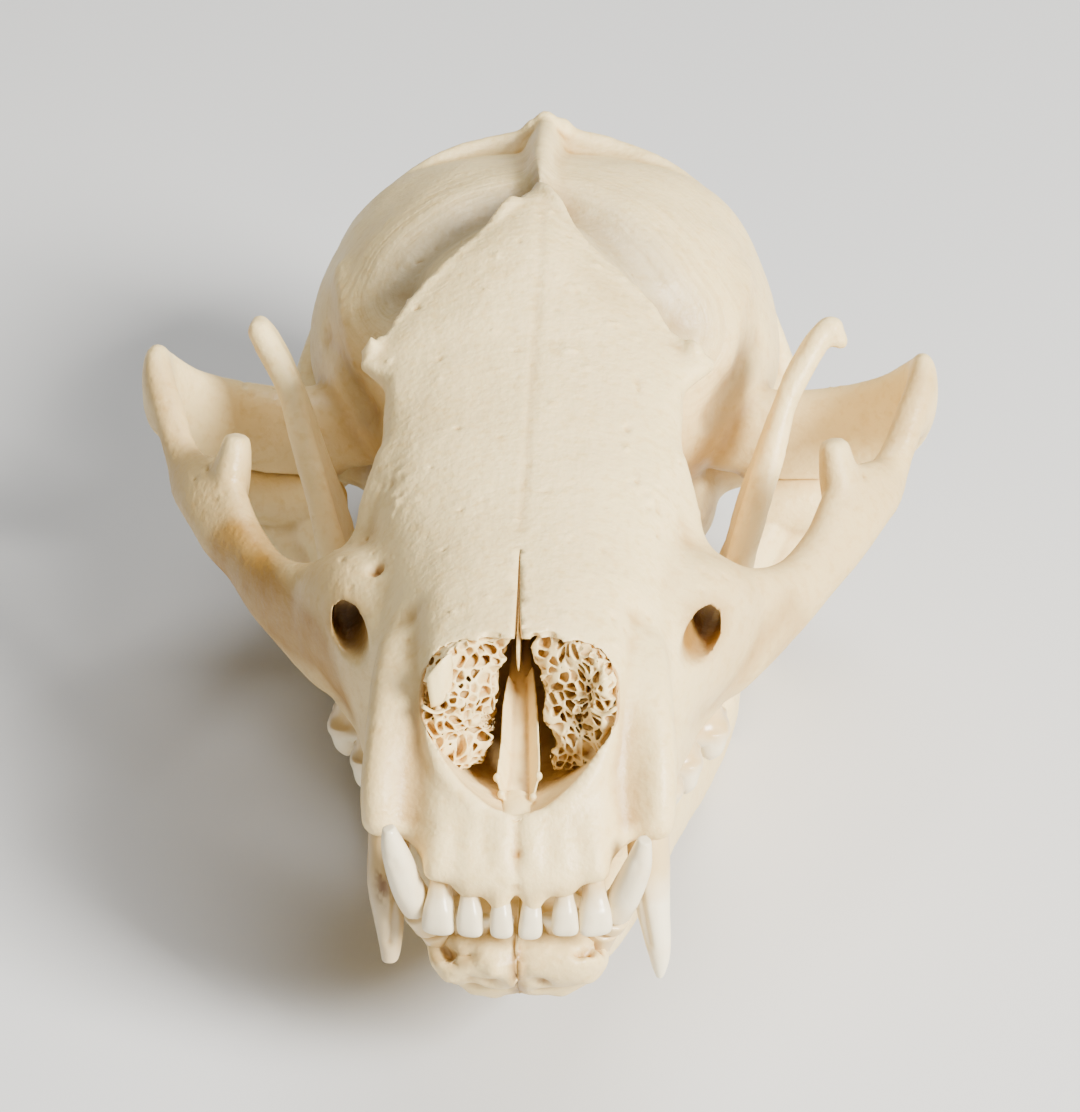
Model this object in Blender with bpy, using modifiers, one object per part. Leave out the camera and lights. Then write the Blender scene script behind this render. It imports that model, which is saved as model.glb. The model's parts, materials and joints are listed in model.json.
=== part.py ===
"""A life-size raccoon skull with its lower jaw closed, resting on the jaw.

The skull is shaped in its own frame, in millimetres: x = 0 is the midline, y = 0 the front of the
upper incisor row with +y towards the back of the head, and z = 0 the gum line of the upper teeth.
An empty then tips it back, as it rests, and stands it on the floor.
"""

import math
from typing import NamedTuple

import bmesh
import bpy
from mathutils import Euler, Matrix, Vector

MM = 0.001

# The driving sizes, in millimetres.
CHEEK_WIDTH = 80.6
BRAINCASE_WIDTH = 51.0
CANINE_WIDTH = 27.2
BROW_WIDTH = 32.6
CREST_HEIGHT = 38.4
JAW_DEPTH = 19.3
NODE_GAP = 0.3

# How the skull rests: tipped back by this many degrees onto the bellies and angles of the jaw, with
# this much of each taken off flat by the floor.
TIP_BACK = 10.2
REST_SHIFT = (0.03, -58.01, 28.92)

# The sutures where the bones part: the face from the braincase, and each cheekbone.
FACE_END = 46.0
CHEEKBONE_INNER = 25.0
CHEEKBONE_END = 75.4

# Mesh sizes.
VOXEL = 0.8
FINE_SIDES = 24
TUBE_SIDES = 12
TOOTH_SIDES = 8

BONE = (0.80, 0.74, 0.60)
AMBER_BONE = (0.74, 0.62, 0.42)


class Ring(NamedTuple):
    """One cross-section of a bone: its centre, its half sizes and how square it is."""

    x: float
    y: float
    z: float
    across: float
    up: float
    down: float
    square_up: float = 2.0
    square_down: float = 2.0
    roll: float = 0.0


class Span(NamedTuple):
    """One cross-section of a flat bone: its upper edge, its lower edge and half its thickness."""

    x: float
    y: float
    z: float
    low_x: float
    low_y: float
    low_z: float
    thick: float


def link(obj, collection):
    """Puts a new object in a collection and gives it back."""
    collection.objects.link(obj)
    return obj


def new_mesh_object(name, mesh_builder, collection):
    """Makes an object from a bmesh."""
    mesh = bpy.data.meshes.new(name)
    bmesh.ops.recalc_face_normals(mesh_builder, faces=mesh_builder.faces)
    mesh_builder.to_mesh(mesh)
    mesh_builder.free()
    return link(bpy.data.objects.new(name, mesh), collection)


def between(rings, steps):
    """Adds rings between the given ones, on a smooth curve through them."""
    found = []
    last = len(rings) - 1
    for index in range(last):
        before, start = rings[max(index - 1, 0)], rings[index]
        end, after = rings[index + 1], rings[min(index + 2, last)]
        for step in range(steps):
            t = step / steps
            values = []
            for a, b, c, d in zip(before, start, end, after):
                bend = (2 * a - 5 * b + 4 * c - d) * t * t + (3 * b - a - 3 * c + d) * t**3
                values.append(0.5 * (2 * b + (c - a) * t + bend))
            found.append(type(start)(*values))
    found.append(rings[last])
    return found


def signed_power(value, power):
    """value to a power, keeping its sign."""
    return math.copysign(abs(value) ** power, value)


def ring_points(ring, sides, sideways, upwards):
    """The corners of one ring, counted round from the +sideways side."""
    centre = Vector((ring.x, ring.y, ring.z))
    turn = Matrix.Rotation(math.radians(ring.roll), 3, sideways.cross(upwards))
    sideways, upwards = turn @ sideways, turn @ upwards
    points = []
    for index in range(sides):
        angle = 2 * math.pi * index / sides
        upper = math.sin(angle) >= 0
        square = ring.square_up if upper else ring.square_down
        height = ring.up if upper else ring.down
        along = signed_power(math.cos(angle), 2 / square) * ring.across
        rise = signed_power(math.sin(angle), 2 / square) * height
        points.append((centre + sideways * along + upwards * rise) * MM)
    return points


def close_rows(body, rows):
    """Skins a bmesh over rows of its vertices and closes both ends."""
    for row, after in zip(rows, rows[1:]):
        for index in range(len(row)):
            beside = (index + 1) % len(row)
            body.faces.new((row[index], row[beside], after[beside], after[index]))
    body.faces.new(rows[0])
    body.faces.new(rows[-1])


def loft(name, rings, collection, axis="PATH", sides=FINE_SIDES, steps=1):
    """A closed body through rings that face along Y, along Z, or along the line of their centres."""
    rings = between(rings, steps)
    body = bmesh.new()
    rows = []
    for index, ring in enumerate(rings):
        sideways, upwards = Vector((1, 0, 0)), Vector((0, 0, 1))
        if axis == "Z":
            upwards = Vector((0, 1, 0))
        if axis == "PATH":
            ahead = rings[min(index + 1, len(rings) - 1)]
            behind = rings[max(index - 1, 0)]
            course = Vector(ahead[:3]) - Vector(behind[:3])
            reference = Vector((0, 0, 1)) if abs(course.normalized().z) < 0.8 else Vector((0, -1, 0))
            sideways = course.cross(reference).normalized()
            upwards = sideways.cross(course).normalized()
        rows.append([body.verts.new(p) for p in ring_points(ring, sides, sideways, upwards)])
    close_rows(body, rows)
    return new_mesh_object(name, body, collection)


def strap(name, spans, collection, sides=20, steps=2, square=2.3):
    """A closed flat body between two edge lines."""
    spans = between(spans, steps)
    middles = [(Vector(span[:3]) + Vector(span[3:6])) / 2 for span in spans]
    body = bmesh.new()
    rows = []
    for index, span in enumerate(spans):
        course = middles[min(index + 1, len(spans) - 1)] - middles[max(index - 1, 0)]
        half = (Vector(span[:3]) - Vector(span[3:6])) / 2
        face = half.cross(course).normalized() * span.thick
        row = []
        for corner in range(sides):
            angle = 2 * math.pi * corner / sides
            along = signed_power(math.cos(angle), 2 / square)
            rise = signed_power(math.sin(angle), 2 / square)
            row.append(body.verts.new((middles[index] + face * along + half * rise) * MM))
        rows.append(row)
    close_rows(body, rows)
    return new_mesh_object(name, body, collection)


def ball(name, centre, radii, collection, turn=(0, 0, 0), sides=FINE_SIDES):
    """An ellipsoid, turned by degrees about X, Y and Z."""
    body = bmesh.new()
    bmesh.ops.create_uvsphere(body, u_segments=sides, v_segments=max(6, sides // 2), radius=MM)
    place = Matrix.Translation(Vector(centre) * MM)
    spin = Euler([math.radians(a) for a in turn]).to_matrix().to_4x4()
    body.transform(place @ spin @ Matrix.Diagonal((*radii, 1)))
    return new_mesh_object(name, body, collection)


def block(name, low, high, collection):
    """A box between two corners."""
    body = bmesh.new()
    bmesh.ops.create_cube(body, size=MM)
    middle = (Vector(low) + Vector(high)) / 2
    body.transform(Matrix.Translation(middle * MM) @ Matrix.Diagonal((*(Vector(high) - Vector(low)), 1)))
    return new_mesh_object(name, body, collection)


def cord(name, points, radii, collection, flat=1.0, sides=TUBE_SIDES, steps=3, square=2.0):
    """A tapering round or flattened bar through points."""
    rings = [Ring(*p, r * flat, r, r, square, square) for p, r in zip(points, radii)]
    return loft(name, rings, collection, sides=sides, steps=steps)


def apply_modifiers(obj):
    """Turns an object's modifiers into its mesh."""
    graph = bpy.context.evaluated_depsgraph_get()
    mesh = bpy.data.meshes.new_from_object(obj.evaluated_get(graph))
    obj.modifiers.clear()
    old = obj.data
    obj.data = mesh
    bpy.data.meshes.remove(old)


def boolean(obj, operation, collection):
    """Joins or cuts obj by every mesh of a collection, then removes them."""
    modifier = obj.modifiers.new(operation.lower(), "BOOLEAN")
    modifier.operation = operation
    modifier.operand_type = "COLLECTION"
    modifier.collection = collection
    modifier.solver = "MANIFOLD"
    apply_modifiers(obj)
    for used in list(collection.objects):
        bpy.data.objects.remove(used)
    bpy.data.collections.remove(collection)


def group(name):
    """A new collection in the scene."""
    collection = bpy.data.collections.new(name)
    bpy.context.scene.collection.children.link(collection)
    return collection


def soften(obj, rounds, voxel=VOXEL):
    """Fuses obj into one even skin and rounds its joins."""
    remesh = obj.modifiers.new("even skin", "REMESH")
    remesh.mode = "VOXEL"
    remesh.voxel_size = voxel * MM
    smooth = obj.modifiers.new("round joins", "SMOOTH")
    smooth.factor = 0.5
    smooth.iterations = rounds
    apply_modifiers(obj)


def thin_out(obj, triangles):
    """Brings obj down to about this many triangles."""
    obj.data.calc_loop_triangles()
    have = len(obj.data.loop_triangles)
    if have <= triangles:
        return
    decimate = obj.modifiers.new("fewer faces", "DECIMATE")
    decimate.use_collapse_triangulate = True
    decimate.ratio = triangles / have
    apply_modifiers(obj)


def fuse(name, pieces, cutters, rounds, triangles, home):
    """One bone: its pieces joined, cut, softened and thinned out."""
    bone = pieces.objects[0]
    pieces.objects.unlink(bone)
    home.objects.link(bone)
    bone.name = name
    boolean(bone, "UNION", pieces)
    if cutters is not None:
        boolean(bone, "DIFFERENCE", cutters)
    soften(bone, rounds)
    thin_out(bone, triangles)
    return bone


def both_sides(make):
    """Calls make for the animal's left, at +x, and for its right."""
    for side in (1, -1):
        make(side)


def sided(side, points):
    """The points, mirrored for the animal's right."""
    return [(side * x, y, z) for x, y, z in points]


# The muzzle and forehead, station by station from the front.
MUZZLE = (
    Ring(0, -0.4, 0.4, 3.0, 0.6, 0.9, 2.0, 2.4),
    Ring(0, 0.6, 0.6, 6.0, 1.5, 1.1, 2.2, 3.0),
    Ring(0, 2.0, 1.2, 8.0, 2.2, 1.4, 2.2, 3.0),
    Ring(0, 4.0, 2.4, 9.0, 3.6, 2.2, 2.2, 4.0),
    Ring(0, 6.0, 3.8, 10.0, 6.2, 3.4, 2.2, 5.0),
    Ring(0, 8.0, 5.2, CANINE_WIDTH / 2 - 2.0, 8.6, 4.8, 2.2, 5.0),
    Ring(0, 10.0, 6.4, CANINE_WIDTH / 2 - 1.0, 10.2, 6.0, 2.25, 5.0),
    Ring(0, 12.0, 7.4, CANINE_WIDTH / 2 - 0.6, 11.0, 7.0, 2.3, 5.0),
    Ring(0, 16.0, 8.4, CANINE_WIDTH / 2 - 0.5, 11.4, 8.0, 2.35, 5.0),
    Ring(0, 22.0, 9.6, CANINE_WIDTH / 2 - 0.4, 11.8, 9.2, 2.45, 5.0),
    Ring(0, 30.0, 13.0, 14.0, 10.2, 12.6, 2.5, 5.0),
    Ring(0, 38.0, 18.0, 14.5, 7.4, 14.0, 2.4, 4.0),
    Ring(0, 47.0, 22.6, 14.4, 5.4, 13.0, 2.2, 3.0),
    Ring(0, 57.0, 25.6, 14.3, 5.6, 13.0, 2.1, 2.6),
    Ring(0, 66.0, 25.5, 12.4, 6.0, 13.0, 2.0, 2.4),
)

# The flat triangle of the forehead, which narrows back into the crest: its pointed sides are the
# temporal lines.
ROOF = (
    Ring(0, 50.0, 25.6, 12.6, 2.6, 5.0, 2.0, 1.6),
    Ring(0, 57.0, 27.4, 15.2, 3.9, 6.0, 1.7, 1.5),
    Ring(0, 62.0, 29.8, 14.2, 3.1, 7.0, 1.6, 1.4),
    Ring(0, 68.0, 33.0, 9.9, 2.2, 8.0, 1.5, 1.3),
    Ring(0, 74.0, 35.6, 5.2, 1.5, 8.0, 1.5, 1.3),
    Ring(0, 80.0, 36.8, 2.0, 1.5, 8.0, 1.6, 1.3),
    Ring(0, 90.0, 36.2, 1.3, CREST_HEIGHT - 36.2, 9.0, 2.0, 1.4),
    Ring(0, 100.0, 35.8, 1.3, 2.4, 9.0, 2.0, 1.4),
    Ring(0, 109.0, 34.8, 1.6, 2.4, 9.0, 2.0, 1.4),
    Ring(0, 112.6, 34.0, 1.6, 2.2, 8.0, 2.0, 1.4),
)

BRAINCASE = (
    Ring(0, 62.0, 19.0, 10.0, 9.0, 12.0, 2.0, 2.2),
    Ring(0, 68.0, 18.5, 12.6, 13.0, 14.0, 2.1, 2.3),
    Ring(0, 74.0, 18.0, 16.8, 16.0, 14.5, 2.2, 2.4),
    Ring(0, 80.0, 17.4, 21.6, 18.0, 14.4, 2.1, 2.4),
    Ring(0, 86.0, 17.0, BRAINCASE_WIDTH / 2 - 1.4, 19.3, 14.4, 2.1, 2.4),
    Ring(0, 92.0, 16.4, BRAINCASE_WIDTH / 2 - 0.2, 20.0, 14.2, 2.05, 2.4),
    Ring(0, 98.0, 15.8, BRAINCASE_WIDTH / 2 - 0.6, 19.9, 13.8, 2.3, 2.4),
    Ring(0, 104.0, 15.8, 23.4, 18.4, 12.6, 2.8, 2.4),
    Ring(0, 108.4, 15.4, 20.6, 17.6, 11.0, 2.8, 2.4),
    Ring(0, 110.6, 15.2, 15.5, 15.4, 8.8, 2.5, 2.4),
)

# The cheekbone's arch, from the upper jaw out, back and in to the socket of the jaw.
ARCH = (
    Span(14.0, 33.0, 13.5, 14.5, 31.0, 3.0, 4.2),
    Span(18.4, 36.6, 14.7, 18.3, 34.6, 2.2, 3.2),
    Span(21.8, 38.4, 13.9, 21.0, 37.6, 3.4, 2.6),
    Span(24.5, 42.8, 13.0, 25.1, 41.8, 5.7, 2.3),
    Span(26.6, 47.0, 14.1, 28.4, 45.8, 8.1, 2.1),
    Span(28.1, 51.0, 16.3, 31.7, 49.4, 9.9, 1.9),
    Span(29.8, 54.6, 17.4, 34.1, 53.2, 11.9, 1.8),
    Span(32.0, 58.0, 16.8, 35.5, 56.8, 12.4, 1.8),
    Span(34.3, 61.0, 17.0, 36.0, 60.5, 12.6, 1.75),
    Span(37.4, 65.0, 21.4, 36.6, 64.6, 15.6, 1.7),
    Span(CHEEK_WIDTH / 2 - 1.7, 69.0, 24.4, 38.5, 68.6, 15.4, 1.75),
    Span(38.0, 72.6, 22.8, 38.4, 72.4, 12.4, 1.9),
    Span(35.2, 76.2, 19.4, 35.6, 76.0, 9.0, 2.3),
    Span(30.8, 79.3, 17.0, 31.0, 79.0, 7.6, 2.9),
    Span(25.0, 81.3, 15.4, 25.0, 81.1, 7.0, 3.8),
    Span(19.0, 83.0, 15.4, 19.0, 83.0, 6.4, 4.8),
)

# The body of the lower jaw from the chin to the cheek.
JAW_BODY = (
    Ring(1.0, 1.4, -6.9, 5.2, 1.1, 1.1, 2.4, 2.2),
    Ring(1.0, 3.2, -8.0, 6.8, 2.1, 2.4, 2.6, 2.2),
    Ring(1.0, 6.4, -9.2, 7.0, 3.1, 4.0, 2.8, 2.0),
    Ring(1.4, 11.0, -10.2, 6.6, 4.2, 5.2, 2.8, 2.0),
    Ring(5.2, 17.0, -11.0, 4.4, 5.0, 5.1, 2.6, 2.2),
    Ring(8.7, 25.0, -11.1, 3.3, 5.0, 4.8, 2.4, 2.2),
    Ring(11.0, 34.0, -11.0, 3.1, 5.0, 4.9, 2.4, 2.2),
    Ring(13.0, 43.0, -11.3, 3.0, 5.3, 5.7, 2.4, 2.2),
    Ring(14.8, 51.0, -11.6, 3.0, 5.6, 6.9, 2.4, 2.2),
    Ring(16.8, 59.0, -11.0, 2.8, 6.4, JAW_DEPTH - 11.0, 2.3, 2.2),
    Ring(18.8, 66.0, -10.0, 2.2, 6.5, 7.9, 2.2, 2.2),
)

# The upright plate of the lower jaw, as level slices from its foot to its tip.
JAW_PLATE = (
    Ring(18.8, 66.0, -15.4, 1.2, 7.0, 7.0),
    Ring(19.1, 66.6, -12.0, 1.8, 10.6, 10.6),
    Ring(19.8, 67.0, -5.0, 2.0, 11.0, 11.0),
    Ring(20.2, 68.4, 0.0, 1.8, 10.4, 10.4),
    Ring(20.9, 68.3, 5.5, 1.6, 8.0, 8.0),
    Ring(22.3, 69.3, 10.0, 1.4, 6.5, 6.5),
    Ring(24.1, 70.9, 15.5, 1.3, 5.0, 5.0),
    Ring(25.9, 72.3, 20.2, 1.25, 4.0, 4.0),
    Ring(27.9, 73.4, 24.0, 1.2, 2.9, 2.9),
    Ring(28.9, 73.6, 25.9, 0.9, 1.5, 1.5),
)


class Tooth(NamedTuple):
    """One tooth: where its neck stands, its neck's half sizes, its crown's height and its cusps."""

    x: float
    y: float
    wide: float
    long: float
    crown: float
    cusps: int
    turn: float = 0.0


# The teeth of one side. A tooth with no cusp is an incisor.
UPPER_TEETH = (
    Tooth(1.45, 0.9, 1.15, 1.2, 4.6, 0, 2),
    Tooth(4.1, 1.4, 1.2, 1.3, 4.6, 0, 6),
    Tooth(6.4, 2.0, 1.2, 1.4, 5.2, 0, 10),
    Tooth(12.0, 12.6, 1.0, 1.2, 2.0, 1, 0),
    Tooth(12.3, 17.0, 1.4, 2.2, 3.0, 1, 0),
    Tooth(12.7, 22.2, 1.7, 2.6, 3.6, 1, 4),
    Tooth(12.8, 28.4, 3.3, 3.1, 2.2, 4, 6),
    Tooth(14.9, 35.8, 3.8, 3.7, 2.2, 4, 4),
    Tooth(14.6, 42.8, 3.1, 2.5, 2.0, 3, -8),
)
LOWER_TEETH = (
    Tooth(1.1, 3.2, 0.75, 1.0, 2.4, 0, 0),
    Tooth(2.9, 3.6, 0.8, 1.1, 2.4, 0, 6),
    Tooth(4.9, 4.0, 0.95, 1.2, 2.6, 0, 12),
    Tooth(5.6, 12.0, 0.9, 1.0, 1.6, 1, 0),
    Tooth(6.5, 16.0, 1.2, 1.9, 2.6, 1, 6),
    Tooth(7.8, 20.8, 1.4, 2.3, 3.0, 1, 12),
    Tooth(9.3, 26.2, 1.6, 2.5, 2.6, 2, 14),
    Tooth(11.4, 33.6, 2.2, 4.2, 1.9, 4, 14),
    Tooth(13.4, 42.4, 2.2, 3.6, 1.8, 4, 12),
)

UPPER_GUM = 0.0
LOWER_GUM = -5.9


def mirrored(rings, side):
    """Rings or spans for the animal's left, or mirrored for its right."""
    if isinstance(rings[0], Span):
        return [span._replace(x=side * span.x, low_x=side * span.low_x) for span in rings]
    return [ring._replace(x=side * ring.x, roll=side * ring.roll) for ring in rings]


def cranium_pieces(parts):
    """Every lump of the skull that grows together, before it is cut."""
    loft("muzzle", MUZZLE, parts, "Y", steps=2)
    loft("braincase", BRAINCASE, parts, "Y", steps=2)
    loft("roof", ROOF, parts, "Y", steps=3)
    core = (Ring(0, 34, 10, 10, 9, 7), Ring(0, 48, 12, 8.6, 12, 9), Ring(0, 70, 12, 8.6, 12, 9))
    loft("orbit core", core, parts, "Y", steps=2)
    palate = (
        Ring(0, 20, 2.4, 13.0, 3, 2.4, 3, 5),
        Ring(0, 34, 2.6, 15.0, 4, 2.6, 3, 5),
        Ring(0, 47, 2.6, 14.0, 4, 2.6, 3, 5),
        Ring(0, 53, 2.8, 9.6, 4, 2.6, 3, 5),
        Ring(0, 65, 3.0, 8.2, 4, 2.6, 3, 4),
    )
    loft("palate", palate, parts, "Y", steps=2)
    base = (
        Ring(0, 62, 7, 7, 5, 3),
        Ring(0, 80, 6, 9, 5, 3.6),
        Ring(0, 100, 6, 10, 5, 3.4),
        Ring(0, 109, 6, 9, 4, 3),
    )
    loft("skull base", base, parts, "Y", steps=2)
    ball("crest knob", (-0.5, 111.4, 35.0), (2.1, 1.8, 1.5), parts)
    both_sides(lambda side: side_pieces(parts, side))


def side_pieces(parts, side):
    """The lumps of one side of the skull."""
    cheek = (
        Ring(12.0, 20.0, 8.0, 1.6, 5.0, 5.0),
        Ring(13.0, 25.5, 9.6, 4.2, 6.4, 6.4),
        Ring(14.4, 31.0, 10.4, 6.0, 7.8, 7.4),
        Ring(15.6, 36.0, 10.8, 6.6, 5.6, 7.6),
        Ring(16.2, 40.0, 10.0, 6.4, 3.8, 7.0),
    )
    loft("cheek", mirrored(cheek, side), parts, "Y", steps=2)
    gum = (
        Ring(12.2, 18.0, 3.2, 1.6, 3.0, 3.0, 2.4, 4.0),
        Ring(12.8, 24.0, 3.4, 2.4, 4.0, 3.3, 2.4, 4.0),
        Ring(13.3, 29.0, 3.4, 3.0, 4.0, 3.3, 2.4, 4.0),
        Ring(14.8, 35.0, 3.6, 3.8, 4.4, 3.5, 2.4, 4.0),
        Ring(14.8, 42.0, 3.6, 3.4, 4.0, 3.5, 2.4, 4.0),
        Ring(13.6, 47.0, 3.4, 2.4, 3.0, 3.2, 2.4, 3.0),
    )
    loft("gum", mirrored(gum, side), parts, "Y", steps=2)
    jugum = sided(side, [(11.0, 6.4, 2.6), (11.0, 9.0, 6.6), (11.0, 13.0, 10.4), (10.6, 19.0, 13.4)])
    cord("canine root", jugum, (2.5, 2.6, 2.5, 2.0), parts)
    strap("arch", mirrored(ARCH, side), parts)
    jugal = sided(side, [(30.4, 53.6, 13.4), (29.5, 54.2, 17.2), (28.8, 55.0, 20.6)])
    cord("jugal process", jugal, (3.2, 2.3, 1.1), parts, flat=0.7)
    brow = (
        Span(10.0, 50.0, 25.0, 10.0, 63.0, 27.6, 2.4),
        Span(13.4, 52.6, 25.6, 13.4, 61.0, 27.6, 1.8),
        Span(BROW_WIDTH / 2 + 0.2, 56.2, 26.8, BROW_WIDTH / 2 + 0.2, 58.4, 27.2, 0.8),
    )
    strap("brow process", mirrored(brow, side), parts)
    rim = (
        (19.4, 36.2, 13.0), (16.6, 36.4, 14.4), (15.0, 37.6, 17.0), (14.4, 40.0, 19.6), (13.2, 44.0, 22.8),
    )
    cord("orbit rim", sided(side, rim), (1.8, 1.7, 1.7, 1.7, 1.6), parts)
    nuchal = (
        (0, 112.0, 34.6), (7, 110.4, 33.4), (12.4, 107.4, 32.2), (17.4, 104.4, 28.8),
        (21.4, 102.0, 23.6), (25.0, 100.4, 13.6), (27.2, 98.6, 4.6),
    )
    cord("nuchal crest", sided(side, nuchal), (1.6, 1.4, 1.4, 1.4, 1.5, 1.9, 2.8), parts)
    ball("mastoid", (side * 24.4, 98.2, 4.2), (5.0, 4.8, 7.4), parts)
    ball("bulla", (side * 12.4, 90.0, 0.8), (6.4, 10.0, 6.6), parts, turn=(0, 0, side * 10))
    meatus = sided(side, [(15.0, 91.4, 3.0), (22.0, 92.0, 4.0), (28.2, 92.6, 4.8)])
    cord("ear tube", meatus, (3.8, 3.2, 3.2), parts)
    behind_bulla = sided(side, [(17.5, 100.5, 3.0), (18.5, 103.0, -1.0), (18.8, 104.0, -5.6)])
    cord("paroccipital process", behind_bulla, (4.2, 2.8, 1.4), parts)
    ball("condyle", (side * 8.4, 111.0, 8.0), (4.4, 4.6, 5.6), parts, turn=(0, side * 24, 0))
    ball("jaw socket", (side * 27.0, 82.6, 8.4), (8.0, 4.4, 4.4), parts)
    wing = (
        Ring(7.4, 60, 3.0, 1.5, 4, 3),
        Ring(7.0, 68, 2.4, 1.2, 5, 4.4),
        Ring(7.4, 76, 1.6, 1.1, 6, 4.6),
        Ring(8.0, 79, 1.0, 0.9, 5, 5.0),
    )
    loft("pterygoid", mirrored(wing, side), parts, "Y", steps=2)


def cranium_cutters(cutters):
    """The spaces cut out of the skull: nose, orbits, canals, sockets and the hole for the spine."""
    nose = (
        Ring(0, 1.0, 10.0, 0.6, 0.6, 1.0),
        Ring(0, 4.4, 10.2, 5.2, 5.0, 5.3, 2.0, 1.7),
        Ring(0, 8.0, 12.4, 7.7, 5.4, 7.4, 3.2, 1.7),
        Ring(0, 12.0, 12.4, 7.9, 5.6, 8.0, 3.6, 2.0),
        Ring(0, 15.0, 12.4, 7.9, 5.0, 8.0, 3.0, 2.0),
        Ring(0, 20.0, 12.6, 7.9, 5.6, 8.0, 2.8, 2.0),
        Ring(0, 28.0, 13.0, 7.9, 6.0, 8.4, 2.6, 2.2),
        Ring(0, 38.0, 14.0, 6.0, 5.0, 7.0),
    )
    loft("nose", nose, cutters, "Y", steps=3)
    for side in (1, -1):
        orbit = (
            Ring(19.0, 37.0, 17.0, 0.8, 1.0, 0.6),
            Ring(19.0, 38.6, 17.0, 2.8, 4.0, 2.8),
            Ring(19.2, 42.0, 16.8, 4.4, 6.4, 5.4),
            Ring(18.6, 46.0, 16.4, 6.6, 8.0, 7.6),
            Ring(18.2, 50.0, 16.0, 8.4, 8.8, 8.6),
            Ring(18.4, 55.0, 15.4, 9.2, 9.4, 9.4),
            Ring(19.0, 60.0, 14.4, 9.2, 9.0, 10.0),
            Ring(20.0, 64.0, 13.0, 6.0, 6.0, 8.0),
        )
        loft("orbit", mirrored(orbit, side), cutters, "Y", steps=2)
        canal = sided(side, [(15.4, 20.0, 12.6), (16.2, 28.0, 12.6), (18.4, 42.0, 12.6)])
        cord("infraorbital canal", canal, (2.4, 1.9, 2.4), cutters, flat=0.8)
        joint = sided(side, [(18.0, 79.6, 3.0), (27.0, 79.6, 3.4), (36.0, 79.6, 3.8)])
        cord("jaw joint", joint, (4.2, 4.2, 4.2), cutters)
    spine_hole = sided(1, [(0, 120, 12.0), (0, 108, 12.6), (0, 98, 14.0)])
    cord("spine hole", spine_hole, (5.4, 5.4, 5.0), cutters, flat=1.25)
    choana = (
        Ring(0, 64, 2.4, 4.6, 3.0, 6.0, 2.5, 3),
        Ring(0, 72, 2.4, 5.0, 2.8, 6.0, 2.5, 3),
        Ring(0, 82, -2.0, 5.2, 3.0, 6.0, 2.5, 3),
    )
    loft("choana", choana, cutters, "Y", steps=2)


def jaw_pieces(parts, side):
    """One half of the lower jaw, without its joint and teeth."""
    loft("body", mirrored(JAW_BODY, side), parts, steps=2)
    loft("plate", mirrored(JAW_PLATE, side), parts, "Z", steps=2)
    front_edge = (
        (18.4, 57.0, -5.0), (20.5, 61.0, 5.0), (23.7, 66.6, 15.0), (25.4, 69.6, 20.0), (28.8, 73.0, 25.2),
    )
    cord("front edge", sided(side, front_edge), (2.0, 1.7, 1.5, 1.45, 1.4), parts)
    neck = sided(side, [(20.4, 74.0, -3.0), (22.4, 77.6, -0.4), (24.6, 79.4, 1.8)])
    cord("neck", neck, (2.8, 2.8, 2.6), parts)
    buttress = (
        Ring(21.0, 75.6, -12.0, 1.6, 3.6, 3.6),
        Ring(22.6, 77.0, -6.5, 2.8, 2.8, 2.8),
        Ring(24.8, 78.8, -1.5, 4.6, 2.0, 2.0),
        Ring(26.2, 79.6, 1.6, 5.6, 1.9, 1.9),
    )
    loft("buttress", mirrored(buttress, side), parts, "Z", steps=2)
    angle = sided(side, [(19.4, 70.0, -11.0), (20.6, 75.5, -12.6), (21.4, 79.6, -13.4), (21.8, 82.0, -13.2)])
    cord("angle", angle, (2.6, 2.3, 2.2, 1.4), parts)


def condyle(name, side, extra, collection):
    """The roller of the jaw joint, or with extra radius the hollow it turns in."""
    points = ((18.6, 79.8, 3.2), (20.4, 79.8, 3.2), (26.6, 79.9, 3.4), (32.6, 80.0, 3.6), (34.4, 80.0, 3.6))
    radii = [radius + extra for radius in (1.2, 2.8, 3.1, 2.8, 1.2)]
    return cord(name, sided(side, points), radii, collection, sides=16, steps=1)


def upright(name, rings, collection, sides=TOOTH_SIDES):
    """A tooth's crown and root as level slices."""
    return loft(name, rings, collection, "Z", sides=sides)


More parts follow.
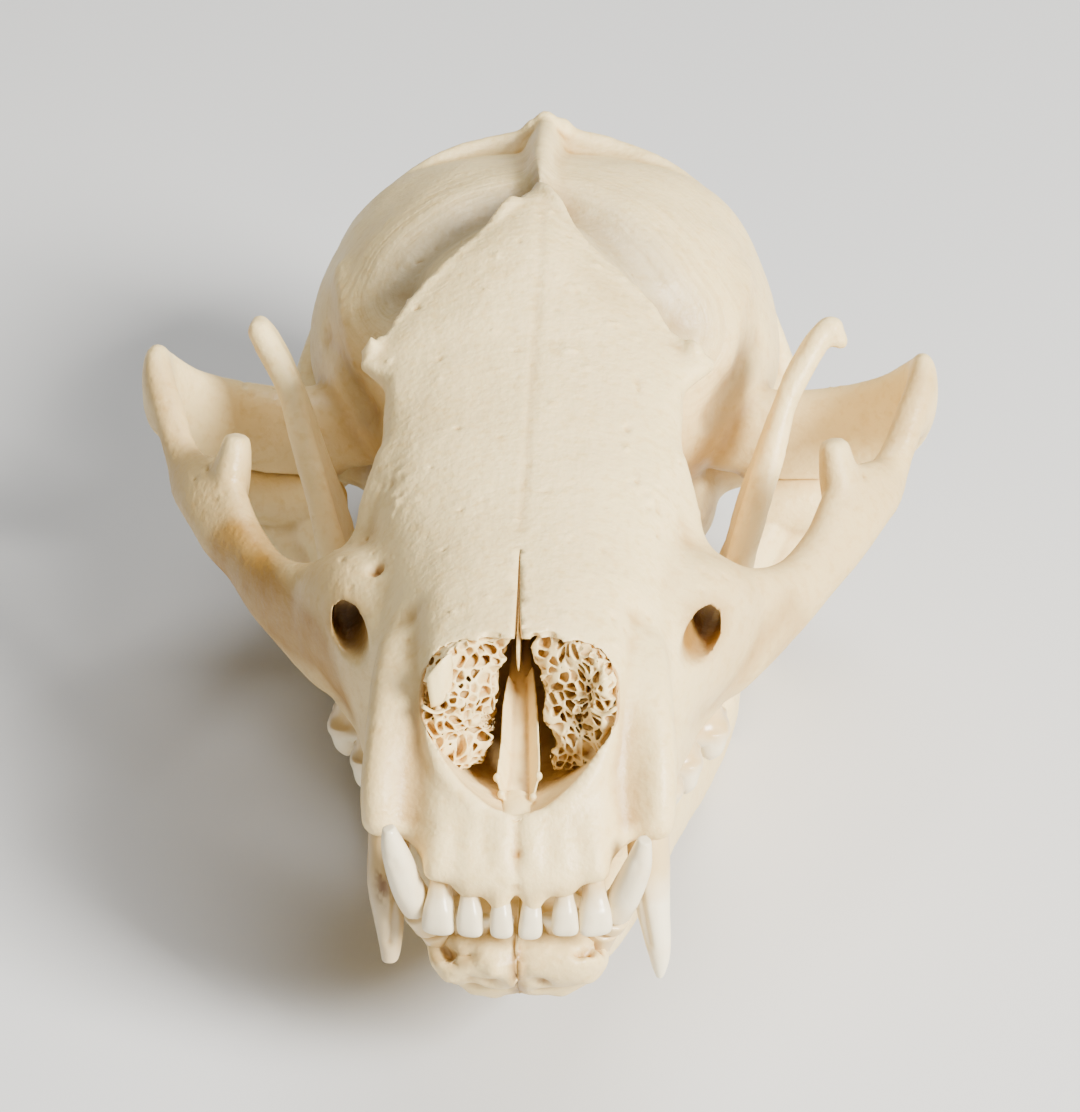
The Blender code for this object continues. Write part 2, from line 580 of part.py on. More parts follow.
def crown(name, tooth, gum, way, side, collection):
    """One tooth: an incisor, a pointed premolar, or a low molar with cusps. way is -1 for an upper."""
    x, y, turn = side * tooth.x, tooth.y, side * tooth.turn
    wide, long = tooth.wide, tooth.long
    root = 2.2 if tooth.cusps else 1.8

    def level(rise, factor, lean=0.0, thin=1.0, square=2.6):
        return Ring(x, y + lean, gum + way * rise, wide * factor, long * factor * thin, long * factor * thin,
                    square, square, turn)

    if tooth.cusps == 0:
        rings = [level(-root, 0.6), level(0.0, 0.85, -0.2), level(0.45 * tooth.crown, 1.05, -0.8, 0.8),
                 level(0.9 * tooth.crown, 1.0, -1.2, 0.5, 3.0), level(tooth.crown, 0.85, -1.2, 0.3, 3.0)]
        return upright(name, rings, collection)
    if tooth.cusps == 1:
        rings = [level(-root, 0.7), level(0.0, 0.95), level(0.35 * tooth.crown, 1.0),
                 level(0.75 * tooth.crown, 0.55), level(tooth.crown, 0.16)]
        return upright(name, rings, collection)
    rings = [level(-root, 0.8), level(0.0, 0.95, square=3.4), level(0.6 * tooth.crown, 1.02, square=3.6),
             level(tooth.crown, 0.86, square=3.4)]
    upright(name, rings, collection)
    outer = 1 if way < 0 else -1
    places = ((0.55, -0.5), (0.55, 0.5), (-0.5, -0.5), (-0.5, 0.5))[: tooth.cusps]
    if tooth.cusps == 2:
        places = ((0.0, -0.5), (0.0, 0.45))
    for number, (across, along) in enumerate(places):
        tall = 1.7 if across * outer > 0 and way < 0 else 0.35
        centre = Vector((x + side * across * wide, y + along * long, 0))
        peak = gum + way * (tooth.crown + tall)
        foot = gum + way * 0.3 * tooth.crown
        size = 0.42 * wide
        rings = [Ring(centre.x, centre.y, foot, size, size, size), Ring(centre.x, centre.y, peak, 0.3, 0.3, 0.3)]
        upright(name + " cusp", rings, collection, sides=6)


def fit_teeth(parts, side, upper):
    """One side's teeth, with their roots sunk in the bone."""
    teeth, gum, way = (UPPER_TEETH, UPPER_GUM, -1) if upper else (LOWER_TEETH, LOWER_GUM, 1)
    for tooth in teeth:
        crown("tooth", tooth, gum, way, side, parts)
    if upper:
        tip = -10.5 if side > 0 else -9.2
        points = [(11.0, 10.0, 7.0), (11.2, 7.8, 2.0), (11.5, 6.4, -2.6), (11.8, 5.6, tip + 2.4), (11.8, 5.6, tip)]
        radii = (2.0, 2.3, 2.1, 1.15, 0.4 if side > 0 else 0.8)
    else:
        tip = 4.2 if side > 0 else 5.2
        points = [(6.2, 8.0, -10.0), (7.3, 5.4, -6.0), (9.1, 3.1, -2.0), (10.3, 2.0, tip - 2.8), (10.9, 1.7, tip)]
        radii = (1.7, 1.8, 1.5, 1.2, 0.6)
    cord("canine", sided(side, points), radii, parts, flat=0.86, sides=10, steps=2)


def keep_largest(obj):
    """Removes all but the largest closed surface."""
    body = bmesh.new()
    body.from_mesh(obj.data)
    left = set(body.verts)
    islands = []
    while left:
        island, edge = set(), [left.pop()]
        while edge:
            vert = edge.pop()
            island.add(vert)
            near = [e.other_vert(vert) for e in vert.link_edges]
            edge += [v for v in near if v in left]
            left.difference_update(near)
        islands.append(island)
    largest = max(islands, key=len)
    bmesh.ops.delete(body, geom=[v for v in body.verts if v not in largest], context="VERTS")
    body.to_mesh(obj.data)
    body.free()


def copy_of(obj, name, home):
    """A copy of obj with a mesh of its own."""
    made = obj.copy()
    made.data = obj.data.copy()
    made.name = name
    return link(made, home)


def cheek_block(side, grow, collection):
    """The space that holds one cheekbone, between its two sutures."""
    near, far = CHEEKBONE_INNER - grow, 60.0
    low = (near if side > 0 else -far, 36.0, -12.0)
    high = (far if side > 0 else -near, CHEEKBONE_END + grow, 45.0)
    block("cheekbone space", low, high, collection)


def part_cranium(cranium, home):
    """Parts the cranium into the braincase, the face and the two cheekbones."""
    half = NODE_GAP / 2
    for side, word in ((1, "left"), (-1, "right")):
        cheekbone = copy_of(cranium, "cheekbone_" + word, home)
        space = group("cheek space")
        cheek_block(side, -half, space)
        boolean(cheekbone, "INTERSECT", space)
        keep_largest(cheekbone)
    for name, low, high in (
        ("face", (-60, FACE_END - half, -60), (60, 160, 60)),
        ("braincase", (-60, -60, -60), (60, FACE_END + half, 60)),
    ):
        node = copy_of(cranium, name, home)
        away = group("away")
        block("away", low, high, away)
        boolean(node, "DIFFERENCE", away)
        for side in (1, -1):
            away = group("away")
            cheek_block(side, half, away)
            boolean(node, "DIFFERENCE", away)
        keep_largest(node)
    bpy.data.objects.remove(cranium)


def material(name, colour, roughness):
    """A plain Principled finish."""
    made = bpy.data.materials.new(name)
    made.use_nodes = True
    shader = made.node_tree.nodes["Principled BSDF"]
    shader.inputs["Base Color"].default_value = (*colour, 1)
    shader.inputs["Roughness"].default_value = roughness
    return made


def main():
    for obj in list(bpy.data.objects):
        bpy.data.objects.remove(obj)
    home = group("raccoon skull")
    parts, cutters = group("cranium pieces"), group("cranium cutters")
    cranium_pieces(parts)
    cranium_cutters(cutters)
    cranium = fuse("cranium", parts, cutters, 4, 5600, home)
    crisp, hollows = group("upper teeth"), group("sockets")
    for side in (1, -1):
        fit_teeth(crisp, side, True)
        condyle("jaw socket", side, 0.35, hollows)
    boolean(cranium, "UNION", crisp)
    boolean(cranium, "DIFFERENCE", hollows)
    for side, word in ((1, "left"), (-1, "right")):
        parts = group("jaw pieces " + word)
        jaw_pieces(parts, side)
        jaw = fuse("mandible_" + word, parts, None, 3, 1100, home)
        crisp = group("lower teeth")
        fit_teeth(crisp, side, False)
        condyle("condyle", side, 0.0, crisp)
        boolean(jaw, "UNION", crisp)
        over = group("over")
        low, high = (-80, NODE_GAP / 2) if side > 0 else (-NODE_GAP / 2, 80)
        block("midline", (low, -60, -60), (high, 160, 60), over)
        boolean(jaw, "DIFFERENCE", over)
        keep_largest(jaw)
    part_cranium(cranium, home)
    rest = Matrix.Translation(Vector(REST_SHIFT) * MM) @ Matrix.Rotation(-math.radians(TIP_BACK), 4, "X")
    for node in home.objects:
        node.data.transform(rest)
        if node.name.startswith("mandible"):
            floor = group("floor")
            block("floor", (-60, -100, -40), (60, 100, 0), floor)
            boolean(node, "DIFFERENCE", floor)
            keep_largest(node)
        tint = AMBER_BONE if node.name.startswith("cheekbone") else BONE
        node.data.materials.clear()
        node.data.materials.append(material(node.name, tint, 0.5))


main()
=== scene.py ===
"""A life-size raccoon skull with its jaw closed, dressed as a museum study piece.

Every form is shaped in the skull's own frame, in millimetres: x = 0 is the midline with +x to the
animal's left, y = 0 the front of the upper incisors with +y backwards, and z = 0 the gum line of the
upper teeth. Rest carries that frame to the floor, tipped back on the bellies and angles of the jaw.
"""

import json
import logging
import math
from collections.abc import Callable, Iterable, Sequence
from dataclasses import dataclass, field
from enum import Enum
from typing import NamedTuple, TypeVar

import bmesh
import bpy
import numpy as np
import openvdb
from mathutils import Euler, Matrix, Vector

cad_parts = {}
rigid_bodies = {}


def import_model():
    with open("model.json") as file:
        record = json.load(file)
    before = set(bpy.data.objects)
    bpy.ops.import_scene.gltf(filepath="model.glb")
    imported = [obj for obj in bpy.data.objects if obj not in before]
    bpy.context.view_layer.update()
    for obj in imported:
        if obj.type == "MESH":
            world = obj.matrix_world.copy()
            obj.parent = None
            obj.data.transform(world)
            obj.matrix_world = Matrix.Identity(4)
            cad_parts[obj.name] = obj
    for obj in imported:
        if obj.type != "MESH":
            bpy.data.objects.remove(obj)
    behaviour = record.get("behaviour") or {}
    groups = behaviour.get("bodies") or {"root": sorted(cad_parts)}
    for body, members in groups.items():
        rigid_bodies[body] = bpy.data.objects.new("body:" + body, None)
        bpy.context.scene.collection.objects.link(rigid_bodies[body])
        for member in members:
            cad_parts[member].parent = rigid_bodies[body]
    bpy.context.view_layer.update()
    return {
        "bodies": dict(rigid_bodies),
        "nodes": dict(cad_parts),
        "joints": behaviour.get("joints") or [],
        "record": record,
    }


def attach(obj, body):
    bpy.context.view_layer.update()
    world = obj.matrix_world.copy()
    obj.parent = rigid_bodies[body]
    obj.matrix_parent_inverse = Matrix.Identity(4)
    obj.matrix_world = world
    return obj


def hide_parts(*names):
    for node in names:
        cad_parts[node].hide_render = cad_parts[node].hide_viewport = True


Point = tuple[float, float, float]
Points = Sequence[Point]
Verts = Sequence[bmesh.types.BMVert]
Object = bpy.types.Object
Node = bpy.types.Node
Tree = bpy.types.NodeTree
MM = 0.001
MOST_TRIANGLES = 196000
LOG = logging.getLogger("skull")


class Side(Enum):
    """The animal's left, at +x, or its right."""

    LEFT = 1
    RIGHT = -1

    @property
    def word(self) -> str:
        """The side's name as it stands in piece names."""
        return self.name.lower()

    def rings(self, rings: Sequence["Ring"]) -> list["Ring"]:
        """Rings of the left, as they lie on this side."""
        return [ring._replace(x=self.value * ring.x, roll=self.value * ring.roll) for ring in rings]

    def spans(self, spans: Sequence["Span"]) -> list["Span"]:
        """Spans of the left, as they lie on this side."""
        return [span._replace(x=self.value * span.x, low_x=self.value * span.low_x) for span in spans]

    def of(self, points: Points) -> list[Point]:
        """The points as they lie on this side, from those of the left."""
        return [(self.value * x, y, z) for x, y, z in points]


class Facing(Enum):
    """Which way the cross-sections of a lofted form face."""

    ALONG = "along the line of their centres"
    FORWARD = "along Y"
    LEVEL = "along Z"


class Ring(NamedTuple):
    """One cross-section of a form: its centre, its half sizes, how square it is, and its roll."""

    x: float
    y: float
    z: float
    across: float
    up: float
    down: float
    square_up: float = 2.0
    square_down: float = 2.0
    roll: float = 0.0


class Span(NamedTuple):
    """One cross-section of a flat bone: its upper edge, its lower edge and half its thickness."""

    x: float
    y: float
    z: float
    low_x: float
    low_y: float
    low_z: float
    thick: float


@dataclass(frozen=True)
class Rest:
    """How the skull lies: tipped back, and shifted onto the floor."""

    tip_back: float = 10.2
    shift: Point = (0.03, -58.01, 28.92)

    @property
    def matrix(self) -> Matrix:
        """The skull's frame, in metres, carried to the floor."""
        turn = Matrix.Rotation(-math.radians(self.tip_back), 4, "X")
        return Matrix.Translation(Vector(self.shift) * MM) @ turn


@dataclass(frozen=True)
class Stroke:
    """A line or a spot raised from a bone, or pressed into it where its height is negative."""

    points: Points
    width: float
    height: float
    both: bool = True
    edge: float = 2.0

    def lines(self) -> list[np.ndarray]:
        """The stroke's lines on the left, or on both sides."""
        line = np.array(self.points, float)
        return [line, line * (-1, 1, 1)] if self.both else [line]


Section = TypeVar("Section", Ring, Span)


def between(rings: Sequence[Section], steps: int) -> list[Section]:
    """Adds sections on a smooth curve through the given ones.

    Args:
        rings: The sections to pass through.
        steps: How many intervals each gap is divided into.

    Returns:
        The longer list of sections.
    """
    found = []
    last = len(rings) - 1
    for index in range(last):
        four = (rings[max(index - 1, 0)], rings[index], rings[index + 1], rings[min(index + 2, last)])
        for step in range(steps):
            t = step / steps
            values = []
            for a, b, c, d in zip(*four):
                bend = (2 * a - 5 * b + 4 * c - d) * t * t + (3 * b - a - 3 * c + d) * t**3
                values.append(0.5 * (2 * b + (c - a) * t + bend))
            found.append(type(rings[0])(*values))
    found.append(rings[last])
    return found


def place_ring(verts: Verts, ring: Ring, sideways: Vector, upwards: Vector) -> None:
    """Moves a circle's vertices onto one cross-section.

    Args:
        verts: The circle's vertices, in order.
        ring: The section.
        sideways: The direction of the section's width.
        upwards: The direction of its height.
    """
    turn = Matrix.Rotation(math.radians(ring.roll), 3, sideways.cross(upwards))
    sideways, upwards = turn @ sideways, turn @ upwards
    for index, vert in enumerate(verts):
        angle = 2 * math.pi * index / len(verts)
        cosine, sine = math.cos(angle), math.sin(angle)
        square, height = (ring.square_up, ring.up) if sine >= 0 else (ring.square_down, ring.down)
        along = math.copysign(abs(cosine) ** (2 / square), cosine) * ring.across
        rise = math.copysign(abs(sine) ** (2 / square), sine) * height
        vert.co = Vector(ring[:3]) + sideways * along + upwards * rise


class Clay:
    """Forms gathered in one bmesh, in the skull's millimetres, before they are fused."""

    def __init__(self) -> None:
        """Starts with nothing."""
        self.mesh = bmesh.new()

    def sweep(self, count: int, sides: int, place: Callable[[int, Verts], None]) -> None:
        """Extrudes a circle through a number of sections and closes both ends.

        Args:
            count: How many sections there are.
            sides: The corners of each.
            place: Moves the circle's vertices onto the section of a number.
        """
        verts = bmesh.ops.create_circle(self.mesh, segments=sides, radius=1.0)["verts"]
        bmesh.ops.contextual_create(self.mesh, geom=verts)
        for index in range(count):
            if index:
                loop = [self.mesh.edges.get((a, b)) for a, b in zip(verts, verts[1:] + verts[:1])]
                made = bmesh.ops.extrude_edge_only(self.mesh, edges=loop)["geom"]
                fresh = {item for item in made if isinstance(item, bmesh.types.BMVert)}
                verts = [({edge.other_vert(v) for edge in v.link_edges} & fresh).pop() for v in verts]
            place(index, verts)
        bmesh.ops.contextual_create(self.mesh, geom=verts)

    def loft(self, rings: Sequence[Ring], facing: Facing = Facing.ALONG,
             sides: int = 40, steps: int = 5) -> None:
        """A closed body through sections.

        Args:
            rings: The sections.
            facing: Which way they face.
            sides: The corners of each section.
            steps: The intervals between given sections.
        """
        rings = between(rings, steps)

        def place(index: int, verts: Verts) -> None:
            """Puts one section's vertices where it lies."""
            sideways, upwards = Vector((1, 0, 0)), Vector((0, 0, 1))
            if facing is Facing.LEVEL:
                upwards = Vector((0, 1, 0))
            if facing is Facing.ALONG:
                ahead, behind = rings[min(index + 1, len(rings) - 1)], rings[max(index - 1, 0)]
                course = Vector(ahead[:3]) - Vector(behind[:3])
                steep = abs(course.normalized().z) >= 0.8
                sideways = course.cross(Vector((0, -1, 0) if steep else (0, 0, 1))).normalized()
                upwards = sideways.cross(course).normalized()
            place_ring(verts, rings[index], sideways, upwards)

        self.sweep(len(rings), sides, place)

    def strap(self, spans: Sequence[Span], sides: int = 32, steps: int = 5, square: float = 2.3) -> None:
        """A flat closed body between two edge lines.

        Args:
            spans: Its sections.
            sides: The corners of each section.
            steps: The intervals between given sections.
            square: How square its edges are.
        """
        spans = between(spans, steps)
        middles = [(Vector(span[:3]) + Vector(span[3:6])) / 2 for span in spans]

        def place(index: int, verts: Verts) -> None:
            """Puts one section's vertices where it lies."""
            course = middles[min(index + 1, len(spans) - 1)] - middles[max(index - 1, 0)]
            half = (Vector(spans[index][:3]) - Vector(spans[index][3:6])) / 2
            face = half.cross(course).normalized() * spans[index].thick
            for number, vert in enumerate(verts):
                cosine, sine = (way(2 * math.pi * number / sides) for way in (math.cos, math.sin))
                along = math.copysign(abs(cosine) ** (2 / square), cosine)
                rise = math.copysign(abs(sine) ** (2 / square), sine)
                vert.co = middles[index] + face * along + half * rise

        self.sweep(len(spans), sides, place)

    def cord(self, points: Points, radii: Sequence[float], flat: float = 1.0,
             sides: int = 20, steps: int = 6) -> None:
        """A tapering bar through points.

        Args:
            points: Its centres.
            radii: Its radius at each.
            flat: Its width over its height.
            sides: The corners of each section.
            steps: The intervals between points.
        """
        self.loft([Ring(*p, r * flat, r, r) for p, r in zip(points, radii)], sides=sides, steps=steps)

    def ball(self, centre: Point, radii: Point, turn: Point = (0, 0, 0)) -> None:
        """An ellipsoid, turned by degrees about X, Y and Z."""
        verts = bmesh.ops.create_uvsphere(self.mesh, u_segments=40, v_segments=24, radius=1.0)["verts"]
        spin = Euler([math.radians(a) for a in turn]).to_matrix().to_4x4()
        place = Matrix.Translation(centre) @ spin @ Matrix.Diagonal((*radii, 1))
        bmesh.ops.transform(self.mesh, matrix=place, verts=verts)

    def to_object(self, name: str) -> Object:
        """An object that holds the forms, with their normals pointing outwards."""
        bmesh.ops.recalc_face_normals(self.mesh, faces=self.mesh.faces)
        mesh = bpy.data.meshes.new(name)
        self.mesh.to_mesh(mesh)
        self.mesh.free()
        obj = bpy.data.objects.new(name, mesh)
        bpy.context.scene.collection.objects.link(obj)
        return obj


def settle(obj: Object) -> None:
    """Turns an object's modifiers into its mesh."""
    graph = bpy.context.evaluated_depsgraph_get()
    made = bpy.data.meshes.new_from_object(obj.evaluated_get(graph))
    old, obj.data = obj.data, made
    obj.modifiers.clear()
    bpy.data.meshes.remove(old)


def knead(obj: Object, voxel: float, rounds: int) -> None:
    """Fuses obj into one even skin and rounds its joins.

    Args:
        obj: The object, in millimetres.
        voxel: The size of the skin's faces.
        rounds: How many times each point moves towards its neighbours.
    """
    remesh = obj.modifiers.new("even skin", "REMESH")
    remesh.mode = "VOXEL"
    remesh.voxel_size = voxel
    if rounds:
        smooth = obj.modifiers.new("round joins", "SMOOTH")
        smooth.factor = 0.5
        smooth.iterations = rounds
    settle(obj)


def carve(obj: Object, tool: Object) -> None:
    """Cuts obj by a tool, and removes the tool."""
    modifier = obj.modifiers.new("carve", "BOOLEAN")
    modifier.operation = "DIFFERENCE"
    modifier.object = tool
    modifier.solver = "MANIFOLD"
    settle(obj)
    bpy.data.objects.remove(tool)


def add_to(obj: Object, more: Object) -> None:
    """Puts the faces of another object into obj, and removes the other."""
    body = bmesh.new()
    body.from_mesh(obj.data)
    body.from_mesh(more.data)
    body.to_mesh(obj.data)
    body.free()
    bpy.data.objects.remove(more)


def keep_largest(obj: Object) -> None:
    """Removes all but the largest closed surface of obj."""
    body = bmesh.new()
    body.from_mesh(obj.data)
    left = set(body.verts)
    largest: set[bmesh.types.BMVert] = set()
    while left:
        seen = {left.pop()}
        edge = list(seen)
        while edge:
            here = edge.pop()
            fresh = {link.other_vert(here) for link in here.link_edges} & left
            left.difference_update(fresh)
            seen.update(fresh)
            edge += fresh
        largest = max(largest, seen, key=len)
    bmesh.ops.delete(body, geom=[v for v in body.verts if v not in largest], context="VERTS")
    body.to_mesh(obj.data)
    body.free()


class Skin:
    """A bone's vertices as arrays, to be raised, pressed in and roughened by strokes, and given stains and
    painted shade by them.
    """

    def __init__(self, obj: Object) -> None:
        """Reads the mesh of obj, which is in the skull's millimetres."""
        self.obj = obj
        count = len(obj.data.vertices)
        self.points = np.empty(count * 3, np.float32)
        obj.data.vertices.foreach_get("co", self.points)
        self.points = self.points.reshape(-1, 3).astype(float)
        self.normals = np.empty(count * 3, np.float32)
        obj.data.vertices.foreach_get("normal", self.normals)
        self.normals = self.normals.reshape(-1, 3).astype(float)

    def distance(self, line: np.ndarray) -> np.ndarray:
        """Each vertex's distance from a line through points, or from one point."""
        if len(line) == 1:
            return np.linalg.norm(self.points - line[0], axis=1)
        best = np.full(len(self.points), np.inf)
        for start, end in zip(line, line[1:]):
            course = end - start
            t = np.clip((self.points - start) @ course / (course @ course), 0, 1)
            best = np.minimum(best, np.linalg.norm(self.points - start - t[:, None] * course, axis=1))
        return best

    def weight(self, stroke: Stroke) -> np.ndarray:
        """How strongly a stroke acts on each vertex, from 0 to 1."""
        total = np.zeros(len(self.points))
        for line in stroke.lines():
            total = np.maximum(total, np.exp(-((self.distance(line) / stroke.width) ** stroke.edge)))
        return total

    def sculpt(self, strokes: Iterable[Stroke]) -> None:
        """Moves the vertices along their normals by every stroke."""
        shift = sum(stroke.height * self.weight(stroke) for stroke in strokes)
        self.points += self.normals * np.asarray(shift)[..., None]
        self.obj.data.vertices.foreach_set("co", self.points.astype(np.float32).ravel())
        self.obj.data.update()
        fresh = np.empty(len(self.points) * 3, np.float32)
        self.obj.data.vertices.foreach_get("normal", fresh)
        self.normals = fresh.reshape(-1, 3).astype(float)

    def spread(self, strokes: Iterable[Stroke]) -> np.ndarray:
        """The strongest of several strokes at each vertex, with their heights as strengths."""
        total = np.zeros(len(self.points))
        for stroke in strokes:
            total = np.maximum(total, stroke.height * self.weight(stroke))
        return total

    def cavity(self, rounds: int, depth: float) -> np.ndarray:
        """How far each vertex lies below its surroundings.

        Args:
            rounds: How wide the surroundings are, in rings of neighbours.
            depth: The depth in millimetres that counts as 1.

        Returns:
            A value from 0 to 1 for each vertex.
        """
        # The depth found here is painted as shade in crevices.
        edges = np.empty(len(self.obj.data.edges) * 2, np.int32)
        self.obj.data.edges.foreach_get("vertices", edges)
        first, second = edges.reshape(-1, 2).T
        count = len(self.points)
        links = np.bincount(first, minlength=count) + np.bincount(second, minlength=count)
        soft = self.points
        for _ in range(rounds):
            sums = [np.bincount(first, soft[second, k], count) + np.bincount(second, soft[first, k], count)
                    for k in range(3)]
            soft = np.stack(sums, -1) / links[:, None]
        return np.clip(np.einsum("ij,ij->i", soft - self.points, self.normals) / depth, 0, 1)

    def roughen(self, mask: np.ndarray, scale: float, height: float, seed: int, sharp: float = 1.0) -> None:
        """Moves the masked vertices in and out by an uneven grain.

        Args:
            mask: How strongly each vertex moves.
            scale: The grain's size, in millimetres.
            height: How far it moves them.
            seed: Which grain.
            sharp: Above 1, high spots stand out of a flat ground.
        """
        chosen = np.nonzero(mask > 0.02)[0]
        grain = lattice_noise(self.points[chosen] / scale, seed)
        grain = np.sign(grain) * np.abs(grain) ** sharp
        self.points[chosen] += self.normals[chosen] * (mask[chosen] * grain * height)[:, None]
        self.obj.data.vertices.foreach_set("co", self.points.astype(np.float32).ravel())
        self.obj.data.update()

    def store(self, name: str, values: np.ndarray) -> None:
        """Keeps a mask on the mesh as an attribute, for its material to read."""
        layer = self.obj.data.attributes.new(name, "FLOAT", "POINT")
        layer.data.foreach_set("value", np.clip(values, 0, 1).astype(np.float32))


def lattice_noise(points: np.ndarray, seed: int) -> np.ndarray:
    """Smooth noise from -1 to 1 at points, one cell of it to each unit.

    Args:
        points: Where it is wanted, as rows of three.
        seed: Which noise.

    Returns:
        One value for each point.
    """
    table = np.random.default_rng(seed).uniform(-1, 1, (32, 32, 32))
    low = np.floor(points).astype(int)
    part = points - low
    part = part * part * (3 - 2 * part)
    total = np.zeros(len(points))
    for corner in np.ndindex(2, 2, 2):
        share = np.prod(np.where(corner, part, 1 - part), axis=1)
        cell = (low + corner) % 32
        total += share * table[cell[:, 0], cell[:, 1], cell[:, 2]]
    return total


def thin(obj: Object, limit: int) -> None:
    """Takes faces from obj until it has no more than limit triangles."""
    obj.data.calc_loop_triangles()
    have = len(obj.data.loop_triangles)
    if have > limit:
        fewer = obj.modifiers.new("fewer faces", "DECIMATE")
        fewer.ratio = limit / have
        settle(obj)


def lay_down(obj: Object, rest: Rest) -> None:
    """Carries a piece from the skull's millimetres to the floor, in metres, and shades it smooth."""
    obj.data.transform(rest.matrix @ Matrix.Scale(MM, 4))
    obj.data.shade_smooth()


@dataclass(frozen=True)
class CraniumForms:
    """The lumps and hollows that make up the skull above the jaw, and their sizes."""

    canine_width: float = 27.2
    cheek_width: float = 80.6
    brain_width: float = 51.0
    brow_width: float = 32.6
    crest_height: float = 38.4

    def muzzle(self, clay: Clay) -> None:
        """The nose and forehead as one long wedge."""
        wide = self.canine_width / 2
        clay.loft((
            Ring(0, -0.2, 0.6, 3.0, 0.6, 0.9, 2.0, 2.4),
            Ring(0, 0.8, 0.9, 6.0, 1.5, 1.3, 2.2, 3.0),
            Ring(0, 2.2, 1.6, 7.9, 2.4, 1.8, 2.2, 3.0),
            Ring(0, 4.0, 2.8, 9.0, 3.7, 2.6, 2.2, 4.0),
            Ring(0, 6.0, 4.2, 10.0, 6.0, 3.6, 2.2, 5.0),
            Ring(0, 8.0, 5.6, wide - 2.2, 8.2, 5.0, 2.2, 5.0),
            Ring(0, 10.0, 6.8, wide - 1.6, 9.9, 6.2, 2.3, 5.0),
            Ring(0, 12.0, 7.6, wide - 1.3, 10.9, 7.0, 2.35, 5.0),
            Ring(0, 16.0, 8.6, wide - 1.1, 11.4, 8.0, 2.4, 5.0),
            Ring(0, 22.0, 9.8, wide - 0.6, 11.7, 9.2, 2.5, 5.0),
            Ring(0, 30.0, 13.0, 14.0, 10.3, 12.6, 2.6, 5.0),
            Ring(0, 38.0, 18.0, 14.5, 7.6, 14.0, 2.5, 4.0),
            Ring(0, 47.0, 22.6, 14.4, 5.5, 13.0, 2.3, 3.0),
            Ring(0, 57.0, 25.4, 14.3, 5.8, 13.0, 2.1, 2.6),
            Ring(0, 66.0, 25.5, 12.4, 6.0, 13.0, 2.0, 2.4),
        ), Facing.FORWARD)

    def braincase(self, clay: Clay) -> None:
        """The dome over the brain, its floor, and the core between the eyes."""
        wide = self.brain_width / 2
        clay.loft((
            Ring(0, 62.0, 19.0, 10.0, 9.0, 12.0, 2.0, 2.2),
            Ring(0, 68.0, 18.5, 12.6, 13.0, 14.0, 2.1, 2.3),
            Ring(0, 74.0, 18.0, 16.8, 16.0, 14.5, 2.1, 2.4),
            Ring(0, 80.0, 17.4, 21.6, 18.0, 14.4, 2.1, 2.4),
            Ring(0, 86.0, 17.0, wide - 1.4, 19.3, 14.4, 2.1, 2.4),
            Ring(0, 92.0, 16.4, wide - 0.2, 20.0, 14.2, 2.05, 2.4),
            Ring(0, 98.0, 15.8, wide - 0.6, 19.9, 13.8, 2.3, 2.4),
            Ring(0, 104.0, 15.8, 23.4, 18.4, 12.6, 2.8, 2.4),
            Ring(0, 108.4, 15.4, 20.6, 17.6, 11.0, 2.8, 2.4),
            Ring(0, 110.6, 15.2, 15.5, 15.4, 8.8, 2.5, 2.4),
        ), Facing.FORWARD, sides=56)
        clay.loft((Ring(0, 34, 10, 10, 9, 7), Ring(0, 48, 12, 8.6, 12, 9), Ring(0, 70, 12, 8.6, 12, 9)),
                  Facing.FORWARD)
        clay.loft((
            Ring(0, 20, 2.4, 12.4, 3, 2.2, 3, 5),
            Ring(0, 34, 2.6, 15.0, 4, 2.4, 3, 5),
            Ring(0, 47, 2.6, 14.0, 4, 2.4, 3, 5),
            Ring(0, 53, 2.8, 9.6, 4, 2.4, 3, 5),
            Ring(0, 65, 3.0, 8.2, 4, 2.4, 3, 4),
        ), Facing.FORWARD)
        clay.loft((Ring(0, 62, 7, 7, 5, 3), Ring(0, 80, 6, 9, 5, 3.6), Ring(0, 100, 6, 10, 5, 3.4),
                   Ring(0, 109, 6, 9, 4, 3)), Facing.FORWARD)

    def roof(self, clay: Clay) -> None:
        """The forehead's flat triangle, whose sides are the temporal lines and meet in the crest."""
        clay.loft((
            Ring(0, 48.0, 25.0, 13.4, 2.9, 5.0, 2.1, 1.8),
            Ring(0, 53.0, 26.3, 14.4, 3.6, 5.6, 1.9, 1.6),
            Ring(-0.3, 57.0, 27.6, 14.9, 4.0, 6.0, 1.7, 1.5),
            Ring(-0.7, 62.0, 29.9, 12.9, 3.4, 7.0, 1.6, 1.4),
            Ring(-0.8, 68.0, 33.0, 8.8, 2.6, 8.0, 1.5, 1.3),
            Ring(-0.6, 74.0, 35.4, 4.6, 1.8, 8.0, 1.5, 1.3),
            Ring(-0.3, 80.0, 36.6, 2.6, 1.5, 8.0, 1.6, 0.95),
            Ring(-0.4, 90.0, 35.6, 2.0, self.crest_height - 35.8, 9.0, 1.6, 0.85),
            Ring(-0.5, 100.0, 35.0, 1.9, 2.4, 9.0, 1.6, 0.85),
            Ring(-0.5, 108.0, 33.8, 2.0, 2.5, 9.0, 1.6, 0.85),
            Ring(-0.3, 112.4, 33.0, 2.2, 2.4, 8.0, 1.6, 0.9),
        ), Facing.FORWARD, steps=6)

